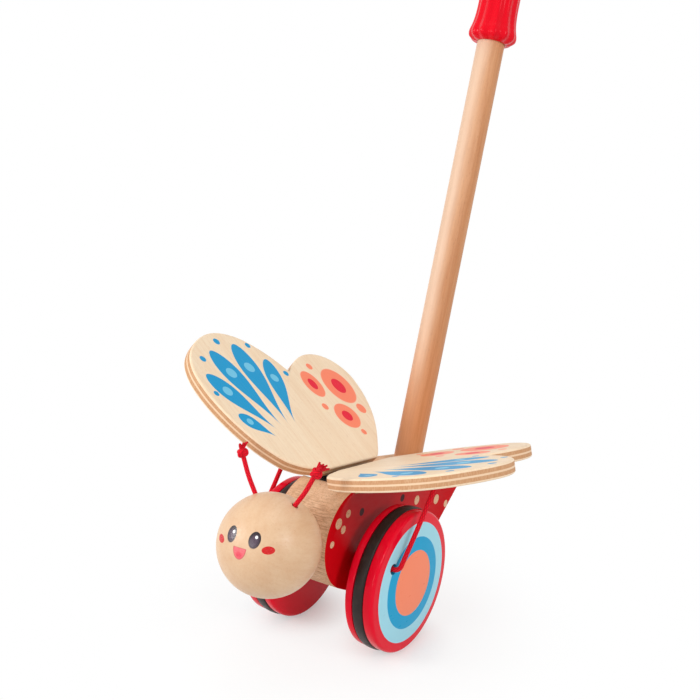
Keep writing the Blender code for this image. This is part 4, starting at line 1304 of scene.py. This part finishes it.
cord_lengths = {}
for word, side in SIDES.items():
    route, mouth = cord_route(word)
    lower, upper = split_line(route, line_length(route) / 2)
    behind = Vector((side * (WHEEL_INNER_X - FIT), *HOLE.yz))
    stub = bmesh.new()
    sweep(stub, [behind, (behind + mouth) / 2, route[0]], [CORD_RADIUS] * 3)
    heart = behind - Vector((side * WHEEL_KNOT_BACK, 0, 0))
    tie_knot(stub, heart, (side, 0, 0), WHEEL_KNOT_REACH, CORD_RADIUS)
    stub_piece = finish_cord(stub, "wheel_cord_knot_" + word, "wheelset")
    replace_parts(stub_piece, "wheel_cord_" + word, "wheel_knot_" + word)
    lower_piece = cord_piece("pull_cord_lower_" + word, lower)
    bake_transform(lower_piece)
    upper_piece = cord_piece("pull_cord_upper_" + word, upper)
    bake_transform(upper_piece)
    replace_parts(upper_piece, "wing_cord_" + word)
    line_length(lower)
    line_length(upper)
    cord_lengths[word] = line_length(route)
print("Free cord:", {word: round(length * 1000, 1) for word, length in cord_lengths.items()}, "mm")

# %% [markdown]
# ## The push rod
# The rod is a 20 mm beech dowel with its ends broken. It is a cylinder with rounded ends and many sides,
# because its outline is long and smooth. Steamed beech is warmer than the ball, with short dark flecks all
# along it. The side towards the main lamp is painted paler as painted light, with a wandering edge that
# fades near the foot, and the foot of the rod is warmer still.

# %% The push rod
ROD_REACH, GRIP_COVER, GRIP_LENGTH, ROD_EDGE = 0.3090, 0.080, 0.100, 0.0012
PAINTED_LIGHT_SIDE = (-0.83, -0.55, 0)
PAINTED_LIGHT_TONE, WARM_FOOT = colour(234, 204, 178), colour(214, 132, 74)


def make_rod():
    start, end = (ROD_MOUTH + ROD_ALONG * along for along in (FIT - ROD_SOCKET, ROD_REACH + GRIP_COVER))
    bm = bmesh.new()
    add_cylinder(bm, (end - start).length, ROD_RADIUS, 96, rod_place((start + end) / 2))
    round_edges(bm, sharp_edges(bm), ROD_EDGE, 3)
    return bm


def make_rod_material():
    surface, shader, here, grain, _ = wooden(
        "rod_beech", colour(214, 154, 108), colour(188, 124, 80), ROD_MOUTH, (-ROD_LEAN, 0, 0), 0.42,
        {"Streaks": 0.40, "Flecks": 0.28, "Fleck Scale": 2600.0, "Rings": 0.0, "Clouds": 0.45},
        Specular_IOR_Level=0.3)
    own = own_frame(here, ROD_MOUTH, (-ROD_LEAN, 0, 0))
    wander = noise(own.scaled(1, 1, 0.12), 90) * 0.006 - 0.003
    # Painted light: the side of the rod that faces the main lamp is mixed towards a paler tone, less so at
    # the foot.
    painted_light = ramp_between(own.dot(PAINTED_LIGHT_SIDE) + wander, -0.003, 0.0075)
    foot = ramp_between(own.parts()[2], 0.02, 0.12, 1, 0)
    warm = mix_colours(foot * 0.35, grain["Color"], WARM_FOOT)
    plug(shader, {"Base Color": mix_colours(painted_light * (foot * -0.6 + 0.72), warm, PAINTED_LIGHT_TONE)})
    return surface


rod = finish_piece(make_rod(), "beech_rod", make_rod_material(), "toy_body")
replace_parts(rod, "push_rod")
print("The rod has", len(rod.data.polygons), "faces")

# %% [markdown]
# ## The grip
# The grip is moulded in glossy red, with a bore for the rod, a rim at its foot, shallow flutes for the
# fingers and a domed end. A circle at the bottom of the bore is extruded from level to level, down the bore
# and up the outside, and widened or narrowed at each. The flutes are pressed in last, by moving each point
# in or out as a wave round the grip, and they fade out towards the end.

# %% The grip
GRIP_RIM, GRIP_WAIST, GRIP_BULB, GRIP_BORE = 0.0168, 0.0142, 0.0172, ROD_RADIUS + FIT
FLUTES, FLUTE_DEPTH = 12, 0.0007
GRIP_LEVELS = (   # share of the length, swell: 0 is the waist, 1 the rim, 2 the bulb, below 0 narrower
    (0.000, -1.00), (0.008, -0.30), (0.020, 0.40), (0.035, 0.84), (0.055, 1.00), (0.080, 0.88), (0.120, 0.48),
    (0.180, 0.14), (0.280, 0.00), (0.480, 0.20), (0.680, 1.20), (0.840, 2.00), (0.920, 1.80), (0.966, 0.60),
    (0.988, -1.60), (0.998, -3.40), (1.001, -5.20))


def grip_radius(swell):
    full = GRIP_RIM if swell <= 1 else GRIP_RIM + (GRIP_BULB - GRIP_RIM) * (swell - 1)
    return GRIP_WAIST + (full - GRIP_WAIST) * min(swell, 1)


def make_grip():
    skin = smooth_line([(GRIP_LENGTH * along, grip_radius(swell), 0) for along, swell in GRIP_LEVELS], 4)
    levels = [Vector((GRIP_COVER, GRIP_BORE, 0)), Vector((0, GRIP_BORE, 0))] + skin
    bm = bmesh.new()
    _, edges = start_ring(bm, 144, GRIP_BORE, Matrix.Translation((0, 0, GRIP_COVER)))
    for before, after in zip(levels, levels[1:]):
        verts, edges = extrude_ring(bm, edges)
        bmesh.ops.scale(bm, vec=(after.y / before.y, after.y / before.y, 1), verts=verts)
        bmesh.ops.translate(bm, vec=(0, 0, after.x - before.x), verts=verts)
    bmesh.ops.edgeloop_fill(bm, edges=edges)
    for vert in bm.verts:
        fade = max(0.0, 1 - vert.co.z / GRIP_LENGTH) if vert.co.xy.length > GRIP_BORE + 0.0005 else 0.0
        wave = FLUTE_DEPTH * fade * math.cos(FLUTES * math.atan2(vert.co.y, vert.co.x))
        vert.co.xy = vert.co.xy * (1 + wave / max(vert.co.xy.length, 0.001))
    bmesh.ops.transform(bm, matrix=rod_place(ROD_MOUTH + ROD_ALONG * ROD_REACH), verts=bm.verts)
    return bm


def make_grip_material():
    surface, shader, _, position = start_material(
        "grip_red_gloss", ROD_MOUTH, (-ROD_LEAN, 0, 0), Specular_IOR_Level=0.30,
        Specular_Tint=colour(255, 150, 160))
    film = use_group(PAINT_FILM, {"Position": position, "Color": colour(226, 8, 30), "Roughness": 0.20,
                                  "Unevenness": 0.04})
    plug(shader, {"Base Color": film["Color"], "Roughness": film["Roughness"],
                  "Normal": bump(film["Height"], 0.00004)})
    return surface


grip = finish_piece(make_grip(), "moulded_grip", make_grip_material(), "toy_body", 60)
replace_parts(grip, "grip")
print("The grip has", len(grip.data.polygons), "faces")

# %% [markdown]
# ## Floor, backdrop and light
# The toy stands on a plain white floor under soft studio light. Close to the wheels the floor is mostly
# lit as paper is, so it takes their shadow. Further out more and more plain white is mixed in, until it
# is white alone and no horizon shows. The world lights the toy at a bit over half strength, and the
# camera sees it as white. Four lamps give the wood its shape: the main one from the upper left, and
# weaker ones from the right, the front and the top.

# %% Floor and backdrop
WHITE_UNDER_WHEELS, WHITE_UNDER_TOY = 0.35, 0.78
WHEEL_SHADOW, TOY_SHADOW = (0.008, 0.045), (0.06, 0.17)     # where each begins to fade, and where it ends
WHITE, DIM_PAPER = (1, 1, 1, 1), (0.66, 0.66, 0.66, 1)


def seen_directly(tree):
    """1 where the camera sees a thing, or its mirror image, and 0 where the thing only lights others."""
    rays = add_node("ShaderNodeLightPath", {}, tree).outputs
    mirrored = Wire(rays["Is Glossy Ray"]).maths("MAXIMUM", Wire(rays["Is Transmission Ray"]))
    return mirrored.maths("MAXIMUM", Wire(rays["Is Camera Ray"]))


def make_floor_material():
    surface, shader, _, position = start_material("floor_white", Roughness=0.9, Specular_IOR_Level=0.05)
    flat = position.scaled(1, 1, 0)
    wheel = (WHEEL_INNER_X + WHEEL_WIDTH / 2, 0, 0)
    off_wheel = flat.vector_maths("ABSOLUTE").vector_maths("SUBTRACT", wheel).vector_maths("LENGTH")
    near = ramp_between(off_wheel, *WHEEL_SHADOW, WHITE_UNDER_WHEELS, WHITE_UNDER_TOY)
    far = ramp_between(flat.vector_maths("LENGTH"), *TOY_SHADOW)
    seen = seen_directly(surface.node_tree)
    plug(shader, {"Base Color": mix_colours(seen, DIM_PAPER, WHITE)})
    glow = add_node("ShaderNodeEmission", {"Color": WHITE, "Strength": 1.0}, surface.node_tree)
    lit, plain = Wire(shader.outputs[0]), Wire(glow.outputs[0])
    mixed = add_node("ShaderNodeMixShader", {0: ((1 - near) * far + near) * seen, 1: lit, 2: plain})
    plug(surface.node_tree.nodes["Material Output"], {0: Wire(mixed.outputs[0])})
    return surface


bm = bmesh.new()
bmesh.ops.create_grid(bm, x_segments=2, y_segments=2, size=30,
                      matrix=Matrix.Translation((0, 0, FLOOR_HEIGHT)))
floor = bmesh_object(bm, "floor")
floor.data.materials.append(make_floor_material())
print("The floor is at", round(FLOOR_HEIGHT * 1000, 1), "mm")

# %% The world
WORLD_LIGHT = 0.55
world = bpy.data.worlds.new("studio")
bpy.context.scene.world = world
world.use_nodes = True
strength = seen_directly(world.node_tree) * (1 - WORLD_LIGHT) + WORLD_LIGHT
plug(world.node_tree.nodes["Background"], {"Color": WHITE, "Strength": strength})
print("The world's light is", WORLD_LIGHT)

# %% The lamps
LAMPS = (   # name, place, watts, size
    ("left_lamp", (-1.05, -1.00, 0.70), 11.5, 0.6),
    ("front_lamp", (-0.20, -1.50, 0.55), 3.5, 0.5),
    ("right_lamp", (1.35, -0.30, 0.80), 7.8, 0.5),
    ("top_lamp", (0.1, 0.1, 1.6), 4.0, 0.8))
TOY_MIDDLE = Vector((0, 0, 0.08))
for name, place, watts, size in LAMPS:
    light = bpy.data.lights.new(name, "AREA")
    light.energy, light.size = watts, size
    lamp = link_object(name, light)
    lamp.location = place
    lamp.rotation_euler = (TOY_MIDDLE - Vector(place)).to_track_quat("-Z", "Y").to_euler()
    print(name, "gives", watts, "watts")
bpy.context.scene.view_settings.view_transform = "Standard"
